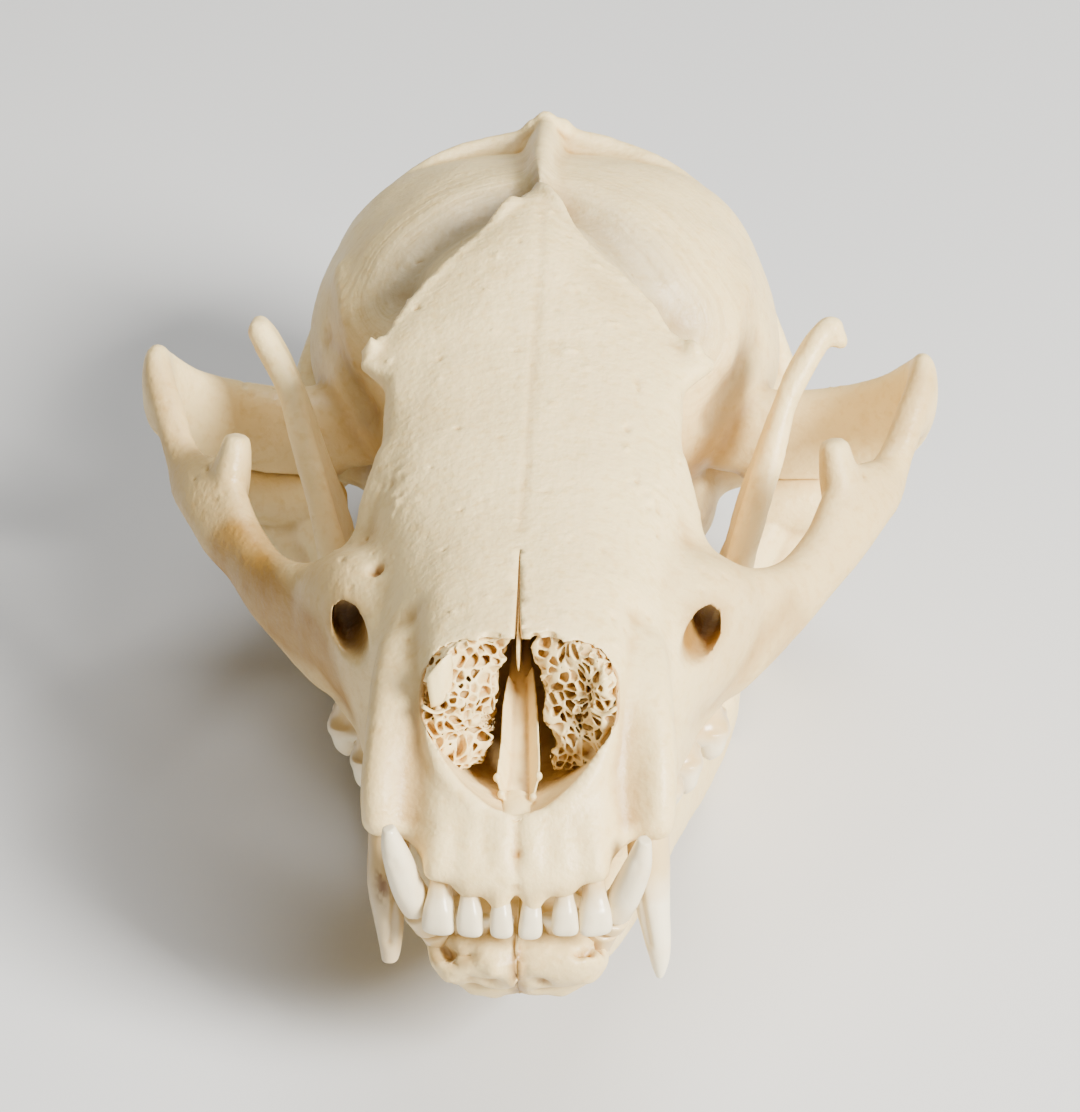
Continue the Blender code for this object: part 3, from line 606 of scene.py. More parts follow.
    def arch(self, clay: Clay, side: Side) -> None:
        """The cheek arch from the face round to the ear, with the eye's rear corner on it."""
        clay.strap(side.spans((
            Span(14.0, 33.0, 13.5, 14.5, 31.0, 3.0, 4.2),
            Span(18.4, 36.6, 14.7, 18.3, 34.6, 2.2, 3.2),
            Span(21.8, 38.4, 13.9, 21.0, 37.6, 3.4, 2.6),
            Span(24.5, 42.8, 13.0, 25.1, 41.8, 5.7, 2.3),
            Span(26.6, 47.0, 14.1, 28.4, 45.8, 8.1, 2.1),
            Span(28.1, 51.0, 16.3, 31.7, 49.4, 9.9, 1.9),
            Span(29.8, 54.6, 17.4, 34.1, 53.2, 11.9, 1.75),
            Span(32.0, 58.0, 16.8, 35.5, 56.8, 12.4, 1.75),
            Span(34.3, 61.0, 17.0, 36.0, 60.5, 12.6, 1.7),
            Span(37.4, 65.0, 21.4, 36.6, 64.6, 15.6, 1.6),
            Span(self.cheek_width / 2 - 1.7, 69.0, 24.4, 38.5, 68.6, 15.4, 1.65),
            Span(38.0, 72.6, 22.8, 38.4, 72.4, 12.4, 1.7),
            Span(35.2, 76.2, 19.4, 35.6, 76.0, 9.0, 2.0),
            Span(30.8, 79.3, 17.0, 31.0, 79.0, 7.6, 2.6),
            Span(25.0, 81.3, 15.4, 25.0, 81.1, 7.0, 3.6),
            Span(19.0, 83.0, 15.4, 19.0, 83.0, 6.4, 4.8),
        )))
        eye_corner = ((30.4, 53.6, 13.4), (29.5, 54.2, 17.2), (28.9, 55.0, 20.4))
        clay.cord(side.of(eye_corner), (3.6, 3.1, 2.3), 0.62)

    def cheek(self, clay: Clay, side: Side) -> None:
        """The upper jaw's side: the root of the arch, the gum and the swelling of the canine's root."""
        clay.loft(side.rings((
            Ring(12.0, 20.0, 8.0, 1.6, 5.0, 5.0),
            Ring(13.0, 25.5, 9.6, 4.0, 6.4, 6.4),
            Ring(14.4, 31.0, 10.4, 6.0, 7.6, 7.4),
            Ring(15.6, 36.0, 10.8, 6.6, 5.6, 7.6),
            Ring(16.2, 40.0, 10.0, 6.4, 3.8, 7.0),
        )), Facing.FORWARD)
        clay.loft(side.rings((
            Ring(12.0, 10.5, 3.2, 1.3, 2.4, 2.6, 2.4, 4.0),
            Ring(12.1, 18.0, 3.2, 1.7, 3.0, 2.9, 2.4, 4.0),
            Ring(12.8, 24.0, 3.4, 2.4, 4.0, 3.2, 2.4, 4.0),
            Ring(13.3, 29.0, 3.4, 3.0, 4.0, 3.2, 2.4, 4.0),
            Ring(14.8, 35.0, 3.6, 3.8, 4.4, 3.4, 2.4, 4.0),
            Ring(14.8, 42.0, 3.6, 3.4, 4.0, 3.4, 2.4, 4.0),
            Ring(13.6, 47.0, 3.4, 2.4, 3.0, 3.0, 2.4, 3.0),
        )), Facing.FORWARD)
        canine_root = ((11.0, 6.6, 2.2), (11.1, 8.8, 6.4), (11.1, 13.0, 10.3), (10.9, 18.0, 13.0),
                       (10.2, 24.0, 15.6))
        clay.cord(side.of(canine_root), (2.5, 2.55, 2.5, 2.2, 1.6))
        orbit_rim = ((19.4, 36.2, 13.0), (16.6, 36.4, 14.4), (15.0, 37.6, 17.0), (14.4, 40.0, 19.6),
                     (13.2, 44.0, 22.8))
        clay.cord(side.of(orbit_rim), (1.8, 1.7, 1.7, 1.7, 1.6))

    def ear_and_base(self, clay: Clay, side: Side) -> None:
        """The rear of the skull on one side, above, behind and below the ear."""
        clay.ball((side.value * 24.4, 98.2, 4.2), (5.0, 4.8, 7.4))
        clay.ball((side.value * 12.4, 90.0, 0.8), (6.4, 10.0, 6.6), (0, 0, side.value * 10))
        clay.cord(side.of([(15.0, 91.4, 3.0), (22.0, 92.0, 4.0), (28.2, 92.6, 4.8)]), (3.8, 3.2, 3.2))
        clay.cord(side.of([(17.5, 100.5, 3.0), (18.5, 103.0, -1.0), (18.8, 104.0, -5.6)]), (4.2, 2.8, 1.4))
        clay.ball((side.value * 8.4, 111.0, 8.0), (4.4, 4.6, 5.6), (0, side.value * 24, 0))
        clay.ball((side.value * 27.0, 82.6, 8.4), (8.0, 4.4, 4.4))
        clay.loft(side.rings((
            Ring(7.4, 60, 3.0, 1.5, 4, 3), Ring(7.0, 68, 2.4, 1.1, 5, 4.4),
            Ring(7.4, 76, 1.6, 1.0, 6, 4.6), Ring(8.0, 79, 1.0, 0.8, 5, 5.0),
        )), Facing.FORWARD)

    def edges(self, clay: Clay, side: Side) -> None:
        """The thin raised edges that stay crisp: brow corner and the nape's crest."""
        across = self.brow_width / 2
        clay.strap(side.spans((
            Span(10.0, 50.0, 25.0, 10.0, 63.0, 27.6, 2.4),
            Span(13.4, 52.6, 25.8, 13.4, 61.0, 27.8, 1.8),
            Span(across + 0.7, 56.0, 27.0, across + 0.7, 58.2, 27.4, 0.8),
        )), square=2.0)
        if side is Side.LEFT:
            clay.cord([(12.6, 57.0, 26.9), (15.8, 57.6, 27.0), (17.6, 58.0, 26.8)], (1.9, 1.5, 0.6), 0.8)
        nape = ((-0.4, 112.0, 34.4), (7, 110.4, 33.4), (12.4, 107.4, 32.2), (17.4, 104.4, 28.8),
                (21.4, 102.0, 23.6), (25.0, 100.4, 13.6), (27.2, 98.6, 4.6))
        clay.cord(side.of(nape), (1.2, 1.1, 1.1, 1.2, 1.3, 1.7, 2.6))
        shelf = [Span(x, y, z, 0.8 * x, y - 7.0, z - 3.4, 1.1) for x, y, z in side.of(nape[:5])]
        clay.strap(shelf, square=2.0)
        for tooth in UPPER_TEETH[:3]:
            x, wide = side.value * tooth.x, tooth.wide
            root = [(x, tooth.y - 0.1, self.gum_rise(tooth)), (0.97 * x, tooth.y + 0.5, 2.0),
                    (0.92 * x, tooth.y + 2.6, 5.0)]
            clay.cord(root, (1.04 * wide, 1.06 * wide, 0.7 * wide))

    @staticmethod
    def gum_rise(tooth: "Tooth") -> float:
        """The level of the bone's edge over an incisor, higher over the outer ones."""
        return -2.2 + 0.45 * (tooth.x - 1.38)

    def hollows(self, clay: Clay) -> None:
        """The nose, the orbits, the canals, the joint's sockets and the hole for the spinal cord."""
        clay.loft((
            Ring(0, 0.8, 10.0, 0.6, 0.6, 1.0),
            Ring(0, 4.4, 10.2, 5.2, 5.0, 5.3, 2.0, 1.7),
            Ring(0, 8.0, 12.4, 7.8, 5.4, 7.4, 3.2, 1.7),
            Ring(0, 12.0, 12.4, 8.2, 5.7, 8.2, 3.6, 2.0),
            Ring(0, 15.0, 12.4, 8.4, 5.6, 8.4, 3.2, 2.2),
            Ring(0, 18.0, 12.8, 8.2, 6.0, 7.6, 2.8, 2.2),
            Ring(0, 20.5, 13.0, 7.0, 5.6, 6.0, 2.4, 2.2),
            Ring(0, 22.0, 13.0, 4.0, 3.6, 3.8),
        ), Facing.FORWARD, sides=56)
        for side in Side:
            clay.loft(side.rings((
                Ring(19.0, 37.0, 17.0, 0.8, 1.0, 0.6),
                Ring(19.0, 38.6, 17.0, 2.8, 4.0, 2.8),
                Ring(19.2, 42.0, 16.8, 4.4, 6.4, 5.4),
                Ring(18.6, 46.0, 16.4, 6.6, 8.0, 7.6),
                Ring(18.2, 50.0, 16.0, 8.4, 8.8, 8.6),
                Ring(18.4, 55.0, 15.4, 9.2, 9.4, 9.4),
                Ring(19.0, 60.0, 14.4, 9.2, 9.0, 10.0),
                Ring(20.0, 64.0, 13.0, 6.0, 6.0, 8.0),
            )), Facing.FORWARD)
            canal = ((15.2, 19.0, 12.8), (16.2, 28.0, 12.8), (18.4, 42.0, 12.6))
            clay.cord(side.of(canal), (2.6, 2.1, 2.4), 0.72)
            self.condyle(clay, side, 0.4)
        clay.cord([(0, 120, 12.0), (0, 108, 12.6), (0, 98, 14.0)], (5.4, 5.4, 5.0), 1.25)
        clay.loft((Ring(0, 64, 2.4, 4.6, 3.0, 6.0, 2.5, 3), Ring(0, 72, 2.4, 5.0, 2.8, 6.0, 2.5, 3),
                   Ring(0, 82, -2.0, 5.2, 3.0, 6.0, 2.5, 3)), Facing.FORWARD)

    @staticmethod
    def condyle(clay: Clay, side: Side, extra: float) -> None:
        """The roller of the jaw joint, or with extra radius the hollow that holds it."""
        roller = ((20.6, 79.8, 3.2), (22.2, 79.8, 3.2), (26.6, 79.9, 3.4), (32.6, 80.0, 3.6),
                  (34.4, 80.0, 3.6))
        clay.cord(side.of(roller), [radius + extra for radius in (1.2, 2.8, 3.1, 2.8, 1.2)])


MIDLINE = ((0.0, 76.3, 37.8), (0.2, 67.4, 35.4), (0.0, 57.1, 31.6), (-0.2, 45.6, 27.7), (-0.3, 35.2, 24.7),
           (-0.5, 26.4, 22.4))
HOLLOW_LEFT = ((1.8, 83.1, 36.2), (4.9, 80.9, 35.1), (8.0, 77.7, 33.6), (10.6, 75.6, 31.6),
               (12.6, 74.0, 28.9), (14.7, 73.9, 26.0))
HOLLOW_RIGHT = ((-2.9, 84.0, 35.9), (-6.5, 82.8, 35.2), (-9.5, 80.8, 34.0), (-12.0, 79.5, 32.4),
                (-14.0, 78.1, 30.5), (-14.9, 76.6, 28.5))
NASAL_EDGE = ((-7.5, 9.5, 17.1), (-5.4, 10.5, 18.1), (-2.9, 12.0, 18.9), (-2.1, 11.5, 18.4),
              (-0.5, 11.5, 18.1), (0.8, 11.8, 18.3), (2.4, 12.0, 18.4), (5.1, 11.0, 18.6),
              (6.4, 10.0, 17.4), (6.9, 8.8, 15.8))


@dataclass
class Cranium:
    """The skull above the jaw, as one bone skin."""

    rest: Rest
    forms: CraniumForms = field(default_factory=CraniumForms)
    voxel: float = 0.34

    def shape(self) -> Object:
        """Fuses the forms, from the largest to the crispest, and cuts the hollows."""
        clay = Clay()
        self.forms.muzzle(clay)
        self.forms.braincase(clay)
        for side in Side:
            self.forms.cheek(clay, side)
            self.forms.ear_and_base(clay, side)
        bone = clay.to_object("cranium")
        knead(bone, 0.7, 12)
        clay = Clay()
        self.forms.roof(clay)
        for side in Side:
            self.forms.arch(clay, side)
            self.forms.edges(clay, side)
        add_to(bone, clay.to_object("edges"))
        knead(bone, 0.5, 7)
        clay = Clay()
        self.forms.hollows(clay)
        tool = clay.to_object("hollows")
        knead(tool, 0.45, 2)
        carve(bone, tool)
        knead(bone, self.voxel, 2)
        keep_largest(bone)
        return bone

    def strokes(self) -> list[Stroke]:
        """The lines and spots worked into the bone."""
        line_left = ((15.4, 57.6, 28.2), (13.2, 60.4, 29.9), (10.2, 64.6, 32.2), (7.0, 69.4, 34.8),
                     (3.9, 73.8, 36.6), (1.0, 78.2, 37.9), (-0.3, 81.0, 38.0))
        line_right = ((-15.8, 57.8, 28.2), (-14.6, 61.0, 29.6), (-11.8, 65.2, 31.8), (-8.6, 69.6, 34.4),
                      (-5.2, 74.0, 36.2), (-2.8, 77.2, 37.1))
        crest = ((-0.3, 82.4, 38.0), (-0.4, 88.0, 37.6), (-0.5, 96.0, 37.0), (-0.5, 104.0, 36.2),
                 (-0.4, 111.0, 35.4))
        sulcus = ((10.2, 19.1, 16.8), (10.2, 15.1, 15.9), (9.9, 11.4, 14.4), (9.8, 9.4, 12.4),
                  (9.6, 7.8, 10.4), (9.5, 6.6, 8.4), (9.6, 5.8, 6.4), (9.8, 5.2, 4.6))
        root = ((11.3, 17.8, 15.6), (11.5, 14.3, 14.0), (11.7, 11.4, 12.4), (11.9, 9.3, 10.4),
                (12.0, 7.8, 8.5), (12.2, 6.4, 6.5), (12.2, 5.5, 4.8), (12.2, 5.2, 3.4))
        temple_groove = ((22.8, 83.3, 20.4), (21.1, 79.5, 19.5), (19.5, 77.3, 17.7), (17.6, 75.2, 15.2))
        temple_ridge = ((21.5, 87.2, 26.6), (20.5, 81.6, 25.1), (19.8, 78.8, 22.9), (19.2, 77.2, 20.1))
        nostril_lip = ((8.7, 9.8, 15.2), (8.6, 8.5, 13.0), (8.1, 7.3, 10.8), (7.0, 6.3, 8.8), (5.5, 5.3, 7.2),
                       (3.9, 4.4, 6.0))
        return [
            Stroke(line_left, 0.75, 0.95, both=False),
            Stroke(line_right, 0.85, 0.95, both=False),
            Stroke(crest, 0.7, 0.9, both=False),
            Stroke(((-1.9, 111.4, 35.2), (1.5, 111.6, 35.2)), 1.0, 1.0, both=False),
            Stroke(HOLLOW_LEFT, 3.2, -1.8, both=False),
            Stroke(HOLLOW_RIGHT, 3.2, -2.0, both=False),
            Stroke(temple_groove, 1.8, -0.7),
            Stroke(temple_ridge, 1.4, 0.5),
            Stroke(sulcus, 2.0, -1.1),
            Stroke(root, 2.0, 0.75),
            Stroke(nostril_lip, 0.7, 0.35),
            Stroke(((-0.1, 3.2, 5.3), (-0.1, 2.1, 3.9), (0, 1.0, 2.6), (0, 0.0, 0.2)), 0.4, -0.3, both=False),
            Stroke(((-0.1, 3.3, 5.5),), 0.4, -0.6, both=False),
            Stroke(((0.0, 1.4, 3.0),), 0.35, -0.5, both=False),
            Stroke(((2.6, 2.6, 3.4),), 0.3, -0.3, both=False),
            Stroke(((-2.9, 2.2, 3.2),), 0.3, -0.3, both=False),
            Stroke(((-13.7, 28.7, 17.6),), 0.6, -1.3, both=False),
            Stroke(MIDLINE, 0.4, -0.12, both=False),
        ]

    @staticmethod
    def weather(skin: Skin) -> None:
        """Gives the bone its uneven, pitted and granular surface."""
        everywhere = np.ones(len(skin.points))
        skin.roughen(everywhere, 5.0, 0.16, 11)
        skin.roughen(everywhere, 1.5, 0.025, 12)
        forehead = skin.normals[:, 2] * (skin.points[:, 2] > 15) * (skin.points[:, 1] < 82)
        skin.roughen(np.clip(forehead * 1.4, 0, 1), 1.0, 0.42, 13, sharp=8)
        grains = skin.spread((
            Stroke(((-11.8, 34.6, 21.9), (-13.2, 38.6, 22.4)), 2.0, 0.7, both=False),
            Stroke(((10.4, 36.2, 23.2), (11.4, 34.8, 22.1)), 2.0, 0.7, both=False),
            Stroke(((-16.0, 57.6, 27.6), (-15.2, 62.0, 29.0), (-12.4, 66.0, 31.2)), 1.4, 1.0, both=False),
            Stroke(((15.6, 57.6, 27.8), (13.6, 60.0, 29.6)), 1.0, 0.7, both=False),
        ))
        skin.roughen(grains, 0.8, 0.45, 14, sharp=1.5)

    @staticmethod
    def break_nose(bone: Object) -> None:
        """Opens the crack between the nasal bones and chips their front edge."""
        clay = Clay()
        clay.loft((
            Ring(-0.2, 10.0, 18.4, 0.44, 2.4, 1.6), Ring(-0.2, 12.4, 18.6, 0.34, 2.4, 1.6),
            Ring(-0.3, 15.0, 19.6, 0.20, 2.0, 1.4), Ring(-0.35, 19.0, 20.8, 0.12, 1.4, 1.2),
            Ring(-0.45, 24.0, 22.0, 0.05, 0.7, 0.5),
        ), Facing.FORWARD, sides=16)
        draw = np.random.default_rng(21)
        ends = np.array(NASAL_EDGE)
        for _ in range(34):
            where = draw.uniform(0, len(ends) - 1.001)
            low = int(where)
            spot = ends[low] + (where - low) * (ends[low + 1] - ends[low]) + draw.normal(0, 0.22, 3)
            clay.ball(tuple(spot), tuple(draw.uniform(0.3, 1.0, 3)))
        tool = clay.to_object("breaks")
        knead(tool, 0.13, 0)
        carve(bone, tool)

    @staticmethod
    def tint(skin: Skin) -> None:
        """Marks where the bone is amber, by staining and on its right side and under its arches also by
        painted shade, where painted shade greys its hollows and darkens its crevices, and how its temples are
        streaked.
        """
        # Amber is staining; the heavy strokes under the right arch and down the right muzzle are also painted
        # shade of that side.
        amber = skin.spread((
            Stroke(((-28.6, 46.0, 11.4), (-27.2, 42.3, 10.9), (-25.0, 38.6, 9.9), (-22.3, 35.2, 8.9),
                    (-19.5, 29.8, 8.9), (-18.1, 28.5, 6.4)), 4.4, 0.95, both=False),
            Stroke(((23.6, 37.1, 6.0), (25.5, 39.3, 7.7), (24.4, 37.8, 9.9), (21.5, 34.3, 8.3),
                    (19.2, 31.7, 5.4)), 3.4, 0.45, both=False),
            Stroke(((15.6, 26.0, 12.8), (16.6, 34.0, 12.8)), 2.6, 1.0),
            Stroke(((24.0, 40.0, 9.0), (29.0, 48.0, 12.0), (33.0, 56.0, 14.0), (37.0, 64.0, 18.0)),
                   5.5, 0.22),
            Stroke(((-24.0, 40.0, 9.0), (-29.0, 48.0, 12.0), (-33.0, 56.0, 14.0)), 4.5, 0.40, both=False),
            Stroke(((16.0, 27.0, 6.0), (18.0, 34.0, 5.0)), 6.0, 0.22),
            Stroke(((-11.6, 16.0, 13.0), (-11.6, 8.0, 8.0)), 5.5, 0.26, both=False),
            Stroke(((-15.0, 30.0, 18.0), (-14.6, 46.0, 22.0)), 4.0, 0.14, both=False),
            Stroke(((24.0, 88.0, 8.0), (20.0, 78.0, 6.0)), 9.0, 0.18),
            Stroke(((30.6, 53.4, 15.0), (33.4, 57.6, 15.8), (36.4, 62.6, 18.6), (38.4, 67.0, 22.0)),
                   2.4, 0.40),
            Stroke(((0, 18.0, 11.4),), 7.6, 0.45, both=False, edge=4.0),
            Stroke(((1.6, -0.2, -0.6), (4.0, 0.4, -0.3), (6.9, 1.6, 0.6), (9.0, 3.4, 1.6)), 0.9, 0.26),
            Stroke(((10.0, 9.4, 12.2), (9.8, 6.6, 7.6), (10.0, 5.4, 4.6)), 1.6, 0.18),
            Stroke(((5.1, 65.3, 34.0), (6.6, 63.5, 33.1), (8.1, 61.6, 32.2)), 1.8, 0.16, both=False),
            Stroke(((-8.6, 45.0, 25.8),), 2.6, 0.10, both=False),
            Stroke(((20.5, 83.6, 24.0), (19.0, 77.4, 18.6)), 2.4, 0.20),
            Stroke(((14.0, 66.0, 12.0), (16.0, 74.0, 10.0)), 6.0, 0.28),
            Stroke(((13.0, 8.0, 1.6), (13.6, 20.0, 1.0), (15.0, 34.0, 1.2)), 1.4, 0.22),
            Stroke(MIDLINE, 0.7, 0.06, both=False),
        ))
        # Painted shade: greys the temporal hollows beside the temporal lines and the groove of each temple.
        shade = skin.spread((
            Stroke(HOLLOW_LEFT, 4.2, 0.75, both=False),
            Stroke(HOLLOW_RIGHT, 4.2, 0.95, both=False),
            Stroke(((18.0, 76.0, 14.0), (20.0, 78.0, 18.0)), 2.6, 0.55),
        ))
        # Amber over the cheeks and deepest under the arches, heavier on the right (-x): staining, and painted
        # shade of that side.
        x, y, z = skin.points.T
        cheeks = np.clip((np.abs(x) - 11.5) / 7, 0, 1) * np.clip((23 - z) / 6, 0, 1)
        cheeks *= np.clip((74 - y) / 10, 0, 1)
        cheeks *= np.where(x < 0, 0.36, 0.26)
        deepest = np.where(x < 0, 0.65, 0.36)
        deepest *= np.exp(-(((np.abs(x) - 24.5) / 5.5) ** 2) - ((z - 8) / 5) ** 2)
        deepest *= np.clip((54 - y) / 8, 0, 1)
        skin.store("amber", np.maximum.reduce([amber, cheeks, deepest]))
        skin.store("shade", shade)
        # Painted shade: the crevices darken by how deep they lie.
        skin.store("cavity", skin.cavity(12, 0.35))
        temples = (skin.points[:, 1] > 60) * (skin.points[:, 2] > 16)
        reach = [skin.distance(np.array(line, float)) for line in (HOLLOW_LEFT, HOLLOW_RIGHT)]
        skin.store("streak", np.minimum(*reach) / 30)
        skin.store("temple", temples * np.exp(-((np.minimum(*reach) / 13) ** 2)))

    def build(self) -> list[Object]:
        """Shapes the cranium, works its surface and gives back its pieces."""
        bone = self.shape()
        skin = Skin(bone)
        skin.sculpt(self.strokes())
        self.weather(skin)
        self.break_nose(bone)
        keep_largest(bone)
        thin(bone, MOST_TRIANGLES)
        self.tint(Skin(bone))
        lay_down(bone, self.rest)
        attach(bone, "root")
        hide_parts("braincase", "face", "cheekbone_left", "cheekbone_right")
        return [bone]


SOCKET = ((-7.2, 3.4, -7.2), (-6.4, 2.2, -7.0), (-5.6, 1.6, -7.0), (-4.8, 1.4, -6.9))


@dataclass
class JawHalf:
    """One half of the lower jaw."""

    rest: Rest
    side: Side
    voxel: float = 0.36
    gap: float = 0.02

    def shape(self) -> Object:
        """Fuses the body, the upright plate, the joint and the angle."""
        clay = Clay()
        clay.loft(self.side.rings((
            Ring(1.0, 1.4, -6.9, 5.2, 1.1, 1.1, 2.4, 2.2),
            Ring(1.0, 3.2, -8.0, 6.8, 2.1, 2.4, 2.6, 2.2),
            Ring(1.0, 6.4, -9.2, 7.0, 3.1, 4.0, 2.8, 2.0),
            Ring(1.4, 11.0, -10.2, 6.6, 4.2, 5.2, 2.8, 2.0),
            Ring(5.2, 17.0, -11.0, 4.4, 5.0, 5.1, 2.6, 2.2),
            Ring(8.7, 25.0, -11.1, 3.3, 5.0, 4.8, 2.4, 2.2),
            Ring(11.0, 34.0, -11.0, 3.1, 5.0, 4.9, 2.4, 2.2),
            Ring(13.0, 43.0, -11.3, 3.0, 5.3, 5.7, 2.4, 2.2),
            Ring(14.8, 51.0, -11.6, 3.0, 5.6, 6.9, 2.4, 2.2),
            Ring(16.8, 59.0, -11.0, 2.8, 6.4, 8.3, 2.3, 2.2),
            Ring(18.8, 66.0, -10.0, 2.2, 6.5, 7.9, 2.2, 2.2),
        )))
        clay.loft(self.side.rings((
            Ring(18.8, 66.0, -15.4, 1.2, 7.0, 7.0),
            Ring(19.1, 66.6, -12.0, 1.8, 10.6, 10.6),
            Ring(19.8, 67.0, -5.0, 1.6, 11.0, 11.0),
            Ring(20.2, 68.4, 0.0, 1.3, 10.4, 10.4),
            Ring(20.9, 68.3, 5.5, 1.2, 8.0, 8.0),
            Ring(22.3, 69.3, 10.0, 1.1, 6.5, 6.5),
            Ring(24.1, 70.9, 15.5, 1.1, 5.0, 5.0),
            Ring(25.9, 72.3, 20.2, 1.1, 4.0, 4.0),
            Ring(27.9, 73.4, 24.0, 1.1, 2.9, 2.9),
            Ring(28.9, 73.6, 25.9, 0.8, 1.5, 1.5),
        )), Facing.LEVEL)
        front_edge = ((18.4, 57.0, -5.0), (20.5, 61.0, 5.0), (23.7, 66.6, 15.0), (25.4, 69.6, 20.0),
                      (28.8, 73.0, 25.2))
        clay.cord(self.side.of(front_edge), (2.0, 1.6, 1.4, 1.4, 1.35))
        if self.side is Side.LEFT:
            clay.ball((29.4, 73.2, 25.6), (1.5, 1.6, 1.2))
            clay.ball((30.5, 73.0, 24.2), (0.9, 1.2, 0.9))
        clay.cord(self.side.of([(20.4, 74, -3), (22.4, 77.6, -0.4), (24.6, 79.4, 1.8)]), (2.8, 2.8, 2.6))
        clay.loft(self.side.rings((
            Ring(21.0, 75.6, -12.0, 1.6, 3.6, 3.6),
            Ring(22.6, 77.0, -6.5, 2.8, 2.8, 2.8),
            Ring(24.8, 78.8, -1.5, 4.6, 2.0, 2.0),
            Ring(26.2, 79.6, 1.6, 5.6, 1.9, 1.9),
        )), Facing.LEVEL)
        jaw_angle = ((19.4, 70.0, -11.0), (20.6, 75.5, -12.6), (21.4, 79.6, -13.4), (21.8, 82.0, -13.2))
        clay.cord(self.side.of(jaw_angle), (2.6, 2.3, 2.2, 1.4))
        bone = clay.to_object("mandible_bone_" + self.side.word)
        knead(bone, 0.45, 8)
        clay = Clay()
        CraniumForms.condyle(clay, self.side, 0.0)
        add_to(bone, clay.to_object("roller"))
        knead(bone, self.voxel, 2)
        return bone

    def strokes(self) -> list[Stroke]:
        """The lines and spots worked into this half."""
        found = [
            Stroke(((0.0, 1.2, -7.2), (0.0, 1.2, -8.7), (0.0, 2.9, -10.9), (0.0, 7.2, -14.8)), 0.5, -0.45),
            Stroke(((8.6, 20.0, -11.6),), 1.0, -0.9),
            Stroke(((11.6, 26.0, -11.6),), 0.8, -0.7),
            Stroke(((2.4, 2.6, -10.4),), 0.5, -0.4),
            Stroke(((22.6, 66.0, -6.0), (23.4, 68.0, 0.0), (24.0, 69.4, 5.0)), 3.4, -0.5),
        ]
        if self.side is Side.RIGHT:
            return found + [Stroke(SOCKET, 0.95, -2.2, both=False)]
        holes = ((5.4, 1.8, -6.7), (6.3, 2.5, -6.8), (7.3, 3.8, -7.2))
        return found + [Stroke((hole,), 0.5, -1.3, both=False) for hole in holes]

    @staticmethod
    def tint(skin: Skin) -> None:
        """Marks where this half has amber staining, where painted shade greys it, and where painted shade
        darkens its crevices.
        """
        skin.store("amber", skin.spread((
            Stroke(((0.0, 1.2, -7.2), (0.0, 1.2, -8.7), (0.0, 2.9, -10.9), (0.0, 7.2, -14.8)), 0.8, 0.75),
            Stroke(SOCKET, 1.3, 0.75, both=False),
            Stroke(((5.4, 1.8, -6.7), (7.3, 3.8, -7.2)), 0.8, 0.35),
            Stroke(((3.0, 2.0, -9.0), (4.0, 6.0, -13.0)), 5.0, 0.14),
            Stroke(((8.6, 20.0, -11.6),), 2.0, 0.5),
            Stroke(((6.0, 14.0, -6.4), (9.0, 26.0, -6.0), (12.0, 38.0, -5.6)), 1.6, 0.3),
            Stroke(((19.8, 62.0, 2.0), (22.0, 66.0, 8.0)), 3.0, 0.32),
            Stroke(((22.0, 79.0, 2.0), (32.0, 80.0, 3.0)), 2.6, 0.18),
        )))
        # Painted shade: greys the hollow at the front of the upright plate; below, the crevices darken by how
        # deep they lie.
        skin.store("shade", skin.spread([Stroke(((21.0, 68.0, -4.0), (23.0, 69.0, 6.0)), 4.0, 0.4)]))
        skin.store("cavity", skin.cavity(12, 0.30))

    def build(self) -> list[Object]:
        """Shapes this half, trims it at the midline and the floor, and gives back its pieces."""
        bone = self.shape()
        other_half = Clay()
        reach = 80.0
        middle = -self.side.value * (reach - self.gap) / 2
        verts = bmesh.ops.create_cube(other_half.mesh, size=1.0)["verts"]
        place = Matrix.Translation((middle, 50, 0)) @ Matrix.Diagonal((reach, 200, 120, 1))
        bmesh.ops.transform(other_half.mesh, matrix=place, verts=verts)
        carve(bone, other_half.to_object("other half"))
        keep_largest(bone)
        skin = Skin(bone)
        cut_face = np.abs(skin.points[:, 0]) < 0.06
        flat = skin.points[cut_face, 0]
        skin.sculpt(self.strokes())
        chin = skin.spread([Stroke(((6.0, 2.0, -8.0), (2.0, 1.6, -9.0), (3.0, 5.0, -12.5)), 4.0, 1.0)])
        everywhere = np.ones(len(skin.points))
        skin.roughen(everywhere, 4.5, 0.14, 31 + self.side.value)
        skin.roughen(everywhere, 1.4, 0.05, 33)
        skin.points[cut_face, 0] = flat
        skin.roughen(chin * ~cut_face, 2.0, 1.0, 35 + self.side.value, sharp=1.6)
        thin(bone, 120000)
        self.tint(Skin(bone))
        lay_down(bone, self.rest)
        low = bmesh.new()
        low.from_mesh(bone.data)
        for vert in low.verts:
            vert.co.z = max(vert.co.z, 0.0)
        low.to_mesh(bone.data)
        low.free()
        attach(bone, "root")
        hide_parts("mandible_" + self.side.word)
        return [bone]


class ToothKind(Enum):
    """The shapes of tooth, by what they do."""

    INCISOR = "nips"
    PEG = "pierces"
    GRINDER = "crushes"


@dataclass(frozen=True)
class Tooth:
    """One tooth of the left side: where its neck stands, its half sizes, its crown and its turn."""

    kind: ToothKind
    x: float
    y: float
    wide: float
    long: float
    crown: float
    turn: float = 0.0
    cusps: tuple[tuple[float, float, float], ...] = ()


